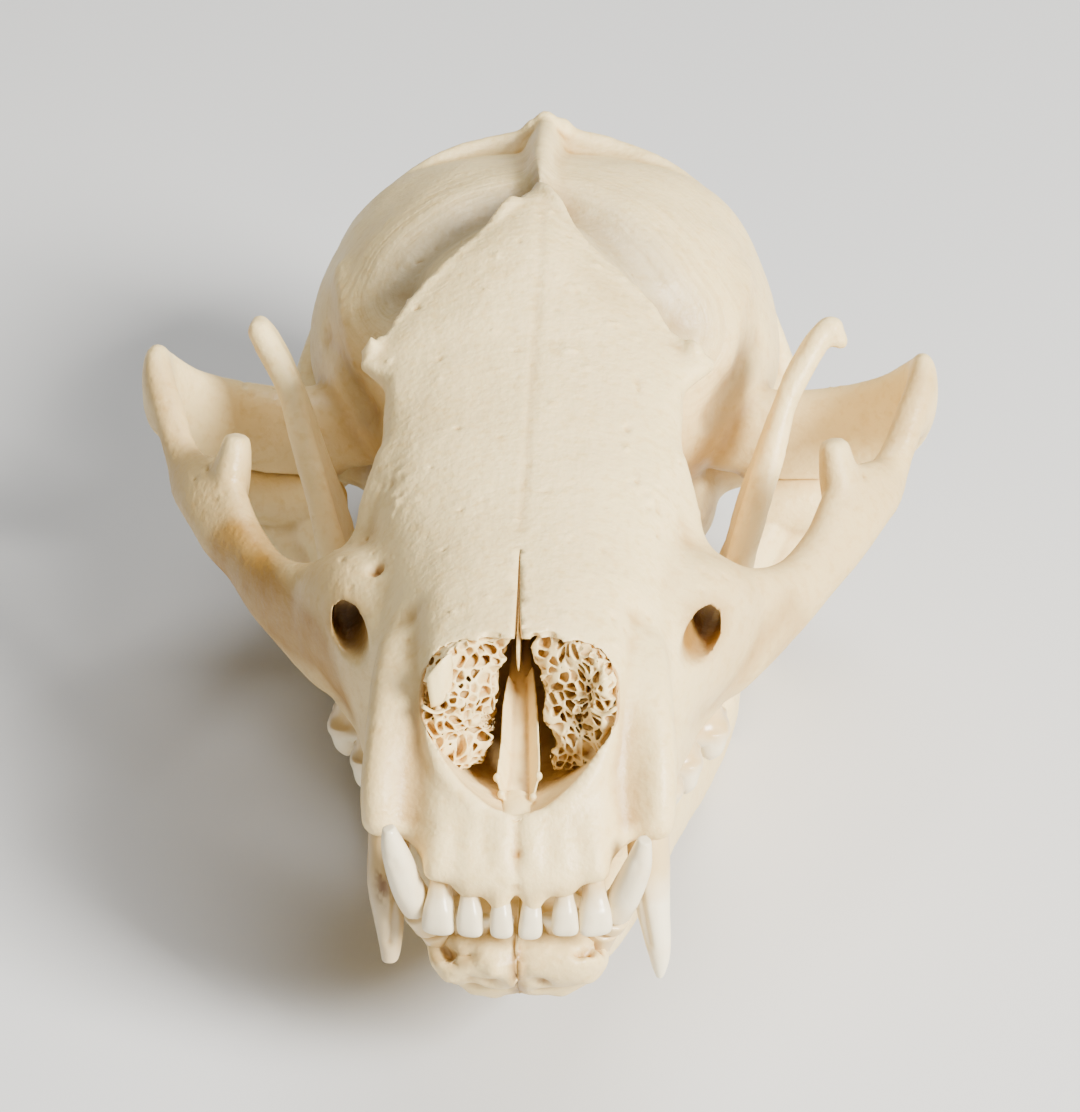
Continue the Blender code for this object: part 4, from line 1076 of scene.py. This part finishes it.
LARGE_TOOTH = 1.7
NIP, PEG, GRIND = ToothKind.INCISOR, ToothKind.PEG, ToothKind.GRINDER
FOUR_UPPER = ((0.58, -0.5, 1.8), (0.58, 0.5, 1.7), (-0.5, -0.42, 0.7), (-0.5, 0.5, 0.6))
THREE_UPPER = ((0.55, -0.45, 1.3), (0.45, 0.5, 1.1), (-0.5, 0.0, 0.5))
LONG_LOWER = ((0.45, -0.62, 0.6), (0.45, -0.05, 0.8), (-0.45, -0.1, 0.7), (0.3, 0.6, 0.4), (-0.4, 0.62, 0.4))
UPPER_TEETH = (
    Tooth(NIP, 1.38, 0.9, 1.0, 1.15, 4.3, 2),
    Tooth(NIP, 4.05, 1.4, 1.14, 1.2, 4.45, 6),
    Tooth(NIP, 6.6, 2.1, 1.45, 1.5, 4.7, 14),
    Tooth(PEG, 12.0, 12.8, 1.0, 1.2, 2.0),
    Tooth(PEG, 12.3, 17.2, 1.4, 2.2, 3.0),
    Tooth(PEG, 12.7, 22.4, 1.7, 2.6, 3.6, 4),
    Tooth(GRIND, 12.8, 28.4, 3.3, 3.0, 2.3, 6, FOUR_UPPER),
    Tooth(GRIND, 14.9, 35.8, 3.8, 3.7, 2.3, 4, FOUR_UPPER),
    Tooth(GRIND, 14.6, 42.8, 3.1, 2.5, 2.1, -8, THREE_UPPER),
)
LOWER_TEETH = (
    Tooth(NIP, 1.1, 3.2, 0.75, 1.0, 2.4),
    Tooth(NIP, 2.9, 3.6, 0.8, 1.1, 2.4, 6),
    Tooth(NIP, 4.9, 4.0, 0.95, 1.2, 2.6, 12),
    Tooth(PEG, 5.6, 12.0, 0.9, 1.0, 1.6),
    Tooth(PEG, 6.5, 16.0, 1.2, 1.9, 2.6, 6),
    Tooth(PEG, 7.8, 20.8, 1.4, 2.3, 3.0, 12),
    Tooth(GRIND, 9.3, 26.2, 1.6, 2.5, 2.4, 14, ((0.0, -0.4, 0.8), (0, 0.5, 0.3))),
    Tooth(GRIND, 11.4, 33.6, 2.1, 4.2, 1.9, 14, LONG_LOWER),
    Tooth(GRIND, 13.4, 42.4, 2.1, 3.6, 1.8, 12, LONG_LOWER),
)


@dataclass
class ToothRow:
    """One side's teeth of the upper or the lower jaw, from the front to the back."""

    rest: Rest
    side: Side
    upper: bool

    @property
    def gum(self) -> float:
        """The level of the gum line."""
        return 0.0 if self.upper else -5.9

    @property
    def way(self) -> int:
        """Which way the crowns stand."""
        return -1 if self.upper else 1

    def crown(self, clay: Clay, tooth: Tooth, draw: np.random.Generator) -> None:
        """One tooth, from its root's end to its edge or cusps, a little out of line."""
        x = self.side.value * tooth.x
        turn = self.side.value * tooth.turn + draw.normal(0, 2.5)
        tall = tooth.crown * draw.uniform(0.97, 1.03)
        skew = draw.normal(0, 0.08)

        def level(rise: float, wide: float, long: float, lean: float = 0.0, square: float = 2.6) -> Ring:
            """One slice across the tooth, at a height from the gum."""
            spot = (x + skew * rise * 0.4, tooth.y + lean, self.gum + self.way * rise)
            half = tooth.long * long
            return Ring(*spot, tooth.wide * wide, half, half, square, square, turn)

        if tooth.kind is ToothKind.INCISOR:
            slices = (level(-2.0, 0.4, 0.4, 1.0), level(-0.2, 0.58, 0.66, 0.6),
                      level(0.28 * tall, 0.70, 0.76, 0.2), level(0.50 * tall, 0.90, 0.84, -0.3),
                      level(0.78 * tall, 1.02, 0.68, -0.7, 2.7), level(0.93 * tall, 0.94, 0.46, -0.8, 2.7),
                      level(tall, 0.62, 0.22, -0.8, 2.4))
        elif tooth.kind is ToothKind.PEG:
            slices = (level(-2.4, 0.7, 0.7), level(-0.2, 0.86, 0.84), level(0.25 * tall, 1.05, 1.04),
                      level(0.6 * tall, 0.72, 0.7), level(0.88 * tall, 0.36, 0.32), level(tall, 0.12, 0.12))
        else:
            slices = (level(-2.4, 0.8, 0.8), level(-0.2, 0.9, 0.9), level(0.4 * tall, 1.06, 1.05, square=3.4),
                      level(0.8 * tall, 0.98, 0.97, square=3.6), level(tall, 0.8, 0.8, square=3.4))
        clay.loft(slices, Facing.LEVEL, sides=28, steps=4)
        for across, along, rise in tooth.cusps:
            centre = (x + self.side.value * across * tooth.wide, tooth.y + along * tooth.long)
            foot = self.gum + self.way * 0.25 * tall
            peak = self.gum + self.way * (tall + rise)
            size = (0.46 if tooth.wide > LARGE_TOOTH else 0.8) * tooth.wide
            clay.loft((
                Ring(*centre, foot, size, size, size),
                Ring(*centre, (foot + 2 * peak) / 3, 0.72 * size, 0.72 * size, 0.72 * size),
                Ring(*centre, peak, 0.14, 0.14, 0.14),
            ), Facing.LEVEL, sides=16, steps=4)

    def canine(self, clay: Clay) -> None:
        """The long tooth at the corner: the upper curves down, the lower leans out in front of it."""
        sharp = self.side is Side.LEFT
        if self.upper:
            tip, out = (-11.2, 12.4) if sharp else (-9.8, 11.3)
            points = [(11.0, 10.0, 7.0), (11.2, 7.8, 2.0), (11.5, 6.4, -2.6), (out - 0.1, 5.6, tip + 2.4),
                      (out, 5.5, tip)]
            radii = (1.9, 2.2, 1.95, 1.15, 0.35) if sharp else (1.9, 2.2, 1.95, 1.3, 0.85)
        else:
            tip = 4.4 if sharp else 5.2
            points = [(6.2, 8.0, -10.0), (7.3, 5.4, -6.0), (9.1, 3.1, -2.0), (10.3, 2.0, tip - 2.8),
                      (10.9, 1.7, tip)]
            radii = (1.7, 1.9, 1.7, 1.4, 0.7)
        clay.cord(self.side.of(points), radii, 0.86, sides=32, steps=8)

    def grooves(self) -> list[Stroke]:
        """The lines pressed into this side's canine."""
        if self.upper:
            inner = ((10.2, 5.2, -0.6), (10.6, 4.4, -4.0), (11.2, 4.4, -7.4))
            return [Stroke(self.side.of(inner), 0.45, -0.35, both=False)]
        return [Stroke(self.side.of(((9.4, 1.4, -0.6), (10.4, 0.9, 2.4))), 0.4, -0.2, both=False)]

    def tint(self, skin: Skin, canine: bool) -> None:
        """Marks a tooth's neck, how old it is, its stains, and painted shade in its crevices."""
        rise = self.way * (skin.points[:, 2] - self.gum)
        uneven = 0.5 * lattice_noise(skin.points / 0.9, 51)
        skin.store("neck", np.clip(1.1 - (rise + uneven) / (3.4 if canine else 1.6), 0, 1))
        worn = canine and self.upper and self.side is Side.RIGHT
        clean = canine and self.upper and self.side is Side.LEFT
        spots = [Stroke(((-11.8, 4.4, -1.0), (-11.7, 4.2, -2.7)), 0.8, 1.0, both=False)] if worn else []
        speckle = np.clip(0.5 + 1.6 * lattice_noise(skin.points / 0.35, 52), 0, 1)
        skin.store("stain", skin.spread(spots) * speckle)
        skin.store("old", np.full(len(rise), 0.65 if worn else 0.0 if clean else 0.12))
        # Painted shade: the crevices darken by how deep they lie.
        skin.store("cavity", skin.cavity(6, 0.14))

    def build(self) -> list[Object]:
        """Builds each tooth, fuses its cusps, and gives back the row's pieces."""
        made = []
        teeth = UPPER_TEETH if self.upper else LOWER_TEETH
        row = "upper" if self.upper else "lower"
        draw = np.random.default_rng(60 + 2 * self.upper + self.side.value)
        for number, tooth in enumerate((*teeth, None), start=1):
            clay = Clay()
            if tooth is None:
                self.canine(clay)
            else:
                self.crown(clay, tooth, draw)
            label = "canine" if tooth is None else f"tooth_{number}"
            piece = clay.to_object(f"{row}_{label}_{self.side.word}")
            large = tooth is None or tooth.wide > LARGE_TOOTH
            knead(piece, 0.17 if large else 0.13, 3)
            skin = Skin(piece)
            skin.sculpt(self.grooves() if tooth is None else [])
            skin.roughen(np.ones(len(skin.points)), 1.3, 0.04, 53)
            thin(piece, 16000)
            self.tint(Skin(piece), tooth is None)
            lay_down(piece, self.rest)
            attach(piece, "root")
            made.append(piece)
        return made


@dataclass
class NoseLace:
    """The scrolls of lace-thin bone in each nostril, with the plough-shaped bone between them."""

    rest: Rest
    cell: float = 0.92
    wall: float = 0.075
    grid: float = 0.115
    most: int = 190000

    def lace(self, side: Side) -> Object:
        """A foam of thin curling walls that fills one side of the nose.

        Args:
            side: Which nostril.

        Returns:
            The lace as an object in the skull's millimetres.
        """
        low, high = np.array([0.9, 8.2, 4.6]), np.array([8.7, 17.4, 18.8])
        counts = np.ceil((high - low) / self.grid).astype(int)
        axes = [low[k] + self.grid * np.arange(counts[k]) for k in range(3)]
        spots = np.stack(np.meshgrid(*axes, indexing="ij"), -1).reshape(-1, 3)
        seed = 5 if side is Side.LEFT else 6
        warp = np.stack([lattice_noise(spots / 1.9, 40 + k) for k in range(3)], -1)
        bent = (spots + 0.8 * warp) * (1, 0.5, 1) / self.cell
        first, second = cell_distances(bent, seed)
        ragged = lattice_noise(spots / 1.2, seed + 9)
        coarse = lattice_noise(spots / 2.6, seed + 19)
        x, y, z = spots.T
        spread = 1.1 * np.clip((11 - z) / 5, 0, 1) - 1.0 * np.clip((z - 14) / 3, 0, 1)
        inner = x - (2.2 + spread + 0.6 * ragged)
        dished = 0.50 * np.abs(x - 7.2) + 0.22 * np.clip(z - 13, 0, 6)
        front = y - (9.3 + dished + 0.55 * ragged + 0.7 * coarse)
        floor = z - (6.5 + 0.6 * ragged - 0.1 * (y - 9))
        over = np.cbrt((x / 8.6) ** 3 + (np.clip(z - 12.4, 0, 9) / 5.9) ** 3)
        under = np.sqrt((x / 8.6) ** 2 + (np.clip(12.4 - z, 0, 9) / 8.4) ** 2)
        inside = np.minimum.reduce([inner, front, floor, 16.9 - y, 6 * (1 - over), 6 * (1 - under)])
        pierced = np.clip(coarse - 0.25, 0, 1) * 0.10
        solid = np.minimum(self.wall - pierced - (second - first) * self.cell * 0.5, inside * 0.5)
        grid = openvdb.FloatGrid()
        grid.copyFromArray(np.ascontiguousarray(-solid.reshape(counts).astype(np.float32)))
        points, quads = grid.convertToQuads(isovalue=0.0)
        points = (points * self.grid + low) * (side.value, 1, 1)
        mesh = bpy.data.meshes.new("nose_lace_" + side.word)
        mesh.from_pydata(points.tolist(), [], quads.tolist())
        obj = bpy.data.objects.new(mesh.name, mesh)
        bpy.context.scene.collection.objects.link(obj)
        clay = Clay()
        clay.cord(side.of([(8.3, 8.7, 13.3), (7.2, 9.0, 12.6), (6.0, 9.9, 12.7)]), (0.16, 0.13, 0.08), 2.5)
        if side is Side.RIGHT:
            clay.strap(SHELL, sides=20)
        add_to(obj, clay.to_object("shelf"))
        body = bmesh.new()
        body.from_mesh(mesh)
        bmesh.ops.recalc_face_normals(body, faces=body.faces)
        body.to_mesh(mesh)
        body.free()
        return obj

    @staticmethod
    def plough() -> Object:
        """The trough on the midline of the nose's floor, with the thin wall that stands behind it."""
        clay = Clay()
        for edge in (TROUGH_LEFT, TROUGH_RIGHT):
            deep = np.linspace(1.4, 2.4, len(edge))
            spans = [Span(x, y, z, 0.5 * x, y + 0.5, z - low, 0.17) for (x, y, z), low in zip(edge, deep)]
            clay.strap(spans, sides=20)
        clay.loft((
            Ring(-0.1, 6.0, 4.2, 1.2, 0.3, 1.6), Ring(-0.1, 8.4, 5.2, 1.6, 0.3, 1.6),
            Ring(-0.1, 11.0, 7.0, 1.5, 0.3, 1.6), Ring(-0.1, 14.0, 9.5, 1.3, 0.3, 2.4),
            Ring(-0.15, 17.0, 12.1, 1.1, 0.3, 3.0), Ring(-0.2, 21.0, 14.5, 0.8, 0.3, 3.0),
        ), Facing.FORWARD, sides=20)
        clay.loft((
            Ring(-0.1, 3.6, 4.5, 2.2, 0.5, 1.6, 2.0, 1.6), Ring(-0.1, 5.0, 4.9, 1.3, 0.5, 1.6, 2.0, 1.6),
            Ring(-0.2, 6.4, 5.1, 1.25, 0.5, 1.6, 2.0, 1.6), Ring(-0.2, 8.0, 5.4, 0.9, 0.4, 1.4),
        ), Facing.FORWARD, sides=20)
        for knob in ((1.25, 6.7, 5.7), (-1.5, 6.8, 5.9), (1.7, 7.8, 7.2), (-1.9, 8.0, 6.9)):
            clay.ball(knob, (0.34, 0.36, 0.42))
        clay.strap((
            Span(-0.25, 12.9, 18.2, -0.25, 13.8, 14.6, 0.15),
            Span(-0.25, 16.0, 19.2, -0.25, 16.0, 13.4, 0.18),
            Span(-0.25, 21.5, 19.6, -0.25, 21.5, 13.0, 0.22),
        ), sides=20)
        obj = clay.to_object("nose_plough")
        knead(obj, 0.13, 1)
        return obj

    def build(self) -> list[Object]:
        """Builds the lace of both sides and the plough between them, with amber growing towards the back of
        the nose, partly as painted shade, and painted shade in their crevices.
        """
        made = [self.lace(side) for side in Side] + [self.plough()]
        for piece in made:
            thin(piece, self.most)
            skin = Skin(piece)
            # Amber grows towards the back of the nose, partly staining and partly painted shade of its depth;
            # the crevices darken as painted shade.
            dished = 0.4 * np.abs(np.abs(skin.points[:, 0]) - 7.2)
            skin.store("amber", (skin.points[:, 1] - 9.5 - dished) / 12.0)
            skin.store("cavity", skin.cavity(5, 0.10))
            lay_down(piece, self.rest)
            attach(piece, "root")
        return made


SHELL = (Span(-8.0, 9.2, 15.8, -7.6, 9.2, 12.9, 0.26), Span(-6.8, 9.5, 17.2, -6.5, 9.6, 13.3, 0.3),
         Span(-5.9, 10.4, 17.7, -5.9, 10.6, 14.2, 0.2))
TROUGH_LEFT = ((0.96, 16.5, 13.6), (1.4, 13.5, 11.3), (1.66, 10.5, 9.1), (1.75, 8.0, 7.4), (1.1, 6.4, 5.3))
TROUGH_RIGHT = ((-1.2, 16.0, 12.9), (-1.57, 13.5, 11.2), (-1.66, 10.5, 9.0), (-1.9, 8.0, 7.0),
                (-1.3, 6.6, 5.7))


def cell_distances(points: np.ndarray, seed: int) -> tuple[np.ndarray, np.ndarray]:
    """Distances from points to their nearest and second nearest scattered centre, one to each unit cell.

    Args:
        points: The points, as rows of three.
        seed: Which scatter.

    Returns:
        The nearest and the second nearest distances.
    """
    jitter = np.random.default_rng(seed).uniform(0.05, 0.95, (24, 24, 24, 3))
    low = np.floor(points).astype(int)
    first = np.full(len(points), 9.0)
    second = np.full(len(points), 9.0)
    for step in np.ndindex(3, 3, 3):
        cell = low + np.array(step) - 1
        wrapped = cell % 24
        centre = cell + jitter[wrapped[:, 0], wrapped[:, 1], wrapped[:, 2]]
        far = np.linalg.norm(points - centre, axis=1)
        second = np.minimum(second, np.maximum(first, far))
        first = np.minimum(first, far)
    return first, second



def add_node(tree: Tree, kind: str, **settings: object) -> Node:
    """A new node, with its properties set."""
    node = tree.nodes.new(kind)
    for name, value in settings.items():
        setattr(node, name, value)
    return node


def connect(tree: Tree, source: Node, output: int | str, target: Node, entry: int | str) -> None:
    """A link from one node's output to another's input."""
    tree.links.new(source.outputs[output], target.inputs[entry])


class Nodes:
    """Short ways to lay out a node tree."""

    def __init__(self, tree: Tree) -> None:
        """Works in one tree, with the object's own coordinates at hand."""
        self.tree = tree
        self.where = add_node(tree, "ShaderNodeTexCoord")

    def noise(self, scale: float, detail: float, stretch: Point = (1, 1, 1)) -> Node:
        """A noise of so many cells to the metre."""
        mapping = add_node(self.tree, "ShaderNodeMapping")
        mapping.inputs["Scale"].default_value = stretch
        node = add_node(self.tree, "ShaderNodeTexNoise")
        node.inputs["Scale"].default_value = scale
        node.inputs["Detail"].default_value = detail
        connect(self.tree, self.where, "Object", mapping, "Vector")
        connect(self.tree, mapping, "Vector", node, "Vector")
        return node

    def mark(self, name: str) -> Node:
        """A mask kept on the mesh."""
        return add_node(self.tree, "ShaderNodeAttribute", attribute_name=name)

    def spread(self, source: Node, low: float, high: float, least: float = 0, most: float = 1) -> Node:
        """A source's values from low to high spread over least to most."""
        node = add_node(self.tree, "ShaderNodeMapRange")
        for socket, value in (("From Min", low), ("From Max", high), ("To Min", least), ("To Max", most)):
            node.inputs[socket].default_value = value
        connect(self.tree, source, "Fac" if "Fac" in source.outputs else 0, node, "Value")
        return node

    def maths(self, operation: str, first: Node, second: Node | float) -> Node:
        """Two values, or a value and a number, put together."""
        node = add_node(self.tree, "ShaderNodeMath", operation=operation)
        connect(self.tree, first, "Fac" if "Fac" in first.outputs else 0, node, 0)
        if isinstance(second, float):
            node.inputs[1].default_value = second
        else:
            connect(self.tree, second, "Fac" if "Fac" in second.outputs else 0, node, 1)
        return node

    def mix(self, kind: str, factor: Node, first: tuple, second: tuple) -> Node:
        """Two colours mixed by a factor; each is a node with its output's name, or a plain colour."""
        node = add_node(self.tree, "ShaderNodeMix", data_type="RGBA", blend_type=kind)
        connect(self.tree, factor, "Fac" if "Fac" in factor.outputs else 0, node, 0)
        for socket, source in ((6, first), (7, second)):
            if isinstance(source[0], Node):
                connect(self.tree, *source, node, socket)
            else:
                node.inputs[socket].default_value = (*source, 1)
        return node


@dataclass(frozen=True)
class BoneFinish:
    """Dry, cleaned bone: cream, with amber stains that are also painted shade on the cranium's right side and
    under its arches, painted shade greying the hollows and darkening the crevices, and fine pits.
    """

    name: str
    cream: Point = (0.90, 0.70, 0.34)
    warm: Point = (0.38, 0.20, 0.035)
    # The colour of the painted shade in the hollows.
    grey: Point = (0.40, 0.34, 0.22)
    grain: float = 0.5

    def build(self) -> bpy.types.Material:
        """Makes the material."""
        made = bpy.data.materials.new(self.name)
        made.use_nodes = True
        tree = made.node_tree
        shader = tree.nodes["Principled BSDF"]
        group = add_node(tree, "ShaderNodeGroup", node_tree=bone_patina())
        for socket, colour in (("Cream", self.cream), ("Warm", self.warm), ("Grey", self.grey)):
            group.inputs[socket].default_value = (*colour, 1)
        group.inputs["Grain"].default_value = self.grain
        connect(tree, group, "Colour", shader, "Base Color")
        connect(tree, group, "Normal", shader, "Normal")
        connect(tree, group, "Roughness", shader, "Roughness")
        shader.inputs["Subsurface Weight"].default_value = 0.08
        shader.inputs["Subsurface Radius"].default_value = (0.0014, 0.0009, 0.0005)
        shader.inputs["Subsurface Scale"].default_value = 1.0
        shader.inputs["IOR"].default_value = 1.5
        return made


def bone_patina() -> Tree:
    """The look of dry bone, as one node group built once: colour with painted shade, roughness and normal.

    Returns:
        The group, with inputs for its three colours and the depth of its grain.
    """
    if "bone_patina" in bpy.data.node_groups:
        return bpy.data.node_groups["bone_patina"]
    tree = bpy.data.node_groups.new("bone_patina", "ShaderNodeTree")
    for name, way, kind in (("Cream", "INPUT", "Color"), ("Warm", "INPUT", "Color"),
                            ("Grey", "INPUT", "Color"), ("Grain", "INPUT", "Float"),
                            ("Colour", "OUTPUT", "Color"), ("Roughness", "OUTPUT", "Float"),
                            ("Normal", "OUTPUT", "Vector")):
        tree.interface.new_socket(name, in_out=way, socket_type="NodeSocket" + kind)
    entry = add_node(tree, "NodeGroupInput")
    leave = add_node(tree, "NodeGroupOutput")
    nodes = Nodes(tree)
    cloudy = nodes.noise(150, 4)
    patches = nodes.maths("MULTIPLY", nodes.spread(nodes.noise(42, 4), 0.46, 0.74), 0.12)
    based = nodes.mix("MIX", patches, (entry, "Cream"), (entry, "Warm"))
    # Amber: staining, and on the cranium's right side and under its arches painted shade too.
    browned = nodes.maths("MULTIPLY", nodes.spread(nodes.mark("amber"), 0.0, 0.65),
                          nodes.spread(cloudy, 0.30, 0.62, 0.8, 1.0))
    ambered = nodes.mix("MIX", browned, (based, 2), (entry, "Warm"))
    # Painted shade greys the marked hollows.
    shaded = nodes.mix("MIX", nodes.mark("shade"), (ambered, 2), (entry, "Grey"))
    along = add_node(tree, "ShaderNodeCombineXYZ")
    connect(tree, nodes.maths("MULTIPLY", nodes.mark("streak"), 26.0), 0, along, 0)
    split = add_node(tree, "ShaderNodeSeparateXYZ")
    connect(tree, nodes.where, "Object", split, 0)
    for axis in (0, 2):
        thirds = add_node(tree, "ShaderNodeMath", operation="MULTIPLY")
        connect(tree, split, axis, thirds, 0)
        thirds.inputs[1].default_value = 70.0
        connect(tree, thirds, 0, along, 1 if axis == 0 else 2)
    streaks = add_node(tree, "ShaderNodeTexNoise")
    streaks.inputs["Scale"].default_value = 1.6
    streaks.inputs["Detail"].default_value = 5
    connect(tree, along, 0, streaks, "Vector")
    drawn = nodes.maths("MULTIPLY", nodes.mark("temple"), nodes.spread(streaks, 0.42, 0.66))
    streaked = nodes.mix("MULTIPLY", drawn, (shaded, 2), (0.86, 0.83, 0.78))
    specks = nodes.spread(nodes.noise(950, 4), 0.50, 0.78)
    speckled = nodes.mix("MULTIPLY", specks, (streaked, 2), (0.90, 0.84, 0.72))
    # Painted shade darkens the crevices.
    deep = nodes.mix("MULTIPLY", nodes.mark("cavity"), (speckled, 2), (0.55, 0.40, 0.22))
    connect(tree, deep, 2, leave, "Colour")
    connect(tree, nodes.spread(cloudy, 0.3, 0.7, 0.36, 0.58), 0, leave, "Roughness")
    heights = nodes.maths("ADD", nodes.noise(1500, 5), nodes.noise(420, 4, (1.0, 0.25, 1.0)))
    heights = nodes.maths("ADD", heights, nodes.maths("MULTIPLY", drawn, -0.45))
    bump = add_node(tree, "ShaderNodeBump")
    bump.inputs["Distance"].default_value = 0.00022
    connect(tree, entry, "Grain", bump, "Strength")
    connect(tree, heights, 0, bump, "Height")
    connect(tree, bump, "Normal", leave, "Normal")
    return tree


@dataclass(frozen=True)
class EnamelFinish:
    """Tooth enamel: ivory white and glossy, yellower at the neck and where old, brown at its stains, with
    painted shade in its crevices.
    """

    name: str = "enamel"
    crown: Point = (0.88, 0.78, 0.54)
    neck: Point = (0.70, 0.50, 0.22)
    old: Point = (0.42, 0.27, 0.09)
    stain: Point = (0.16, 0.07, 0.02)
    roughness: float = 0.28

    def build(self) -> bpy.types.Material:
        """Makes the material."""
        made = bpy.data.materials.new(self.name)
        made.use_nodes = True
        tree = made.node_tree
        shader = tree.nodes["Principled BSDF"]
        nodes = Nodes(tree)
        cloudy = nodes.spread(nodes.noise(420, 4), 0.45, 0.80, 0.0, 0.35)
        crown = nodes.mix("MIX", cloudy, self.crown, self.neck)
        necked = nodes.mix("MIX", nodes.maths("MULTIPLY", nodes.mark("neck"), 0.95), (crown, 2), self.neck)
        aged = nodes.mix("MIX", nodes.mark("old"), (necked, 2), self.old)
        browned = nodes.mix("MIX", nodes.mark("stain"), (aged, 2), self.stain)
        # Painted shade darkens the crevices.
        deep = nodes.mix("MULTIPLY", nodes.mark("cavity"), (browned, 2), (0.60, 0.44, 0.26))
        connect(tree, deep, 2, shader, "Base Color")
        bump = add_node(tree, "ShaderNodeBump")
        bump.inputs["Distance"].default_value = 0.0001
        bump.inputs["Strength"].default_value = 0.25
        connect(tree, nodes.noise(700, 3, (1, 1, 0.15)), "Fac", bump, "Height")
        connect(tree, bump, "Normal", shader, "Normal")
        shader.inputs["Roughness"].default_value = self.roughness
        shader.inputs["Subsurface Weight"].default_value = 0.15
        shader.inputs["Subsurface Radius"].default_value = (0.0010, 0.0009, 0.0008)
        shader.inputs["Subsurface Scale"].default_value = 1.0
        return made


SENSOR = 36.0


@dataclass
class Studio:
    """The camera at the photograph's angle, soft lights, and a pale floor."""

    rest: Rest
    rise: float = 23.0
    yaw: float = 1.6
    distance: float = 340.0
    middle: Point = (0.0, 55.0, 15.0)
    aside: float = 0.504
    below: float = 6.644
    pixels: float = 3473.54
    picture: tuple[int, int] = (1080, 1112)

    def camera(self) -> None:
        """Sets the camera where the photograph was taken from, above and in front of the skull."""
        rise, yaw = math.radians(self.rise), math.radians(self.yaw)
        right = Vector((math.cos(yaw), math.sin(yaw), 0))
        back = Vector((-math.sin(yaw), math.cos(yaw), 0))
        ahead = back * math.cos(rise) - Vector((0, 0, math.sin(rise)))
        upwards = back * math.sin(rise) + Vector((0, 0, math.cos(rise)))
        spot = Vector(self.middle) + self.aside * right - self.below * upwards - self.distance * ahead
        frame = Matrix((right, upwards, -ahead)).transposed().to_4x4()
        frame.translation = spot * MM
        data = bpy.data.cameras.new("camera")
        data.sensor_width = SENSOR
        data.lens = self.pixels / max(self.picture) * SENSOR
        data.clip_start = 0.01
        camera = bpy.data.objects.new("camera", data)
        bpy.context.scene.collection.objects.link(camera)
        camera.matrix_world = self.rest.matrix @ frame
        bpy.context.scene.camera = camera

    def light(self, name: str, spot: Point, size: float, power: float, colour: Point = (1, 1, 1)) -> None:
        """One soft panel that faces the skull.

        Args:
            name: Its name.
            spot: Where it hangs, in metres.
            size: Its side.
            power: Its power in watts.
            colour: Its colour.
        """
        data = bpy.data.lights.new(name, "AREA")
        data.size = size
        data.energy = power
        data.color = colour
        lamp = bpy.data.objects.new(name, data)
        bpy.context.scene.collection.objects.link(lamp)
        aim = Vector(spot) - Vector((0, 0, 0.03))
        lamp.matrix_world = Matrix.Translation(spot) @ aim.to_track_quat("Z", "Y").to_matrix().to_4x4()

    def floor(self) -> None:
        """Lays the plain pale floor that the skull stands on."""
        body = bmesh.new()
        bmesh.ops.create_grid(body, x_segments=1, y_segments=1, size=1.6)
        mesh = bpy.data.meshes.new("floor")
        body.to_mesh(mesh)
        body.free()
        floor = bpy.data.objects.new("floor", mesh)
        bpy.context.scene.collection.objects.link(floor)
        finish = bpy.data.materials.new("floor")
        finish.use_nodes = True
        shader = finish.node_tree.nodes["Principled BSDF"]
        shader.inputs["Base Color"].default_value = (0.62, 0.62, 0.61, 1)
        shader.inputs["Roughness"].default_value = 0.8
        mesh.materials.append(finish)

    def build(self) -> None:
        """Sets up the camera, the lights, the air's glow and the floor."""
        self.camera()
        self.light("key", (0.56, -0.46, 0.50), 0.28, 29.0, (1.0, 0.98, 0.94))
        self.light("fill", (-0.60, -0.50, 0.30), 0.5, 1.3, (1.0, 0.97, 0.92))
        self.light("top", (0.10, 0.20, 0.70), 0.40, 4.0)
        world = bpy.data.worlds.new("air")
        bpy.context.scene.world = world
        world.use_nodes = True
        glow = world.node_tree.nodes["Background"]
        glow.inputs["Color"].default_value = (0.9, 0.92, 0.95, 1)
        glow.inputs["Strength"].default_value = 0.10
        self.floor()


Builder = tuple[Callable[[], list[Object]], bpy.types.Material]


def dress(pieces: Iterable[Object], material: bpy.types.Material) -> None:
    """Gives pieces one material and nothing else."""
    for piece in pieces:
        piece.data.materials.clear()
        piece.data.materials.append(material)


def main() -> None:
    """Builds the skull and its studio, one class after another."""
    logging.basicConfig(level=logging.INFO, format="%(name)s: %(message)s")
    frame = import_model()
    LOG.info("frame of %d nodes", len(frame["nodes"]))
    rest = Rest()
    Studio(rest).build()
    bone = BoneFinish("bone").build()
    enamel = EnamelFinish().build()
    lace = BoneFinish("lace_bone", (0.90, 0.70, 0.33), (0.62, 0.38, 0.13), grain=0.25).build()
    builders: list[Builder] = [(Cranium(rest).build, bone)]
    builders += [(JawHalf(rest, side).build, bone) for side in Side]
    builders += [(ToothRow(rest, side, upper).build, enamel) for side in Side for upper in (True, False)]
    builders.append((NoseLace(rest).build, lace))
    for build, material in builders:
        made = build()
        dress(made, material)
        for piece in made:
            LOG.info("%s: %d faces", piece.name, len(piece.data.polygons))


if __name__ == "__main__":
    main()
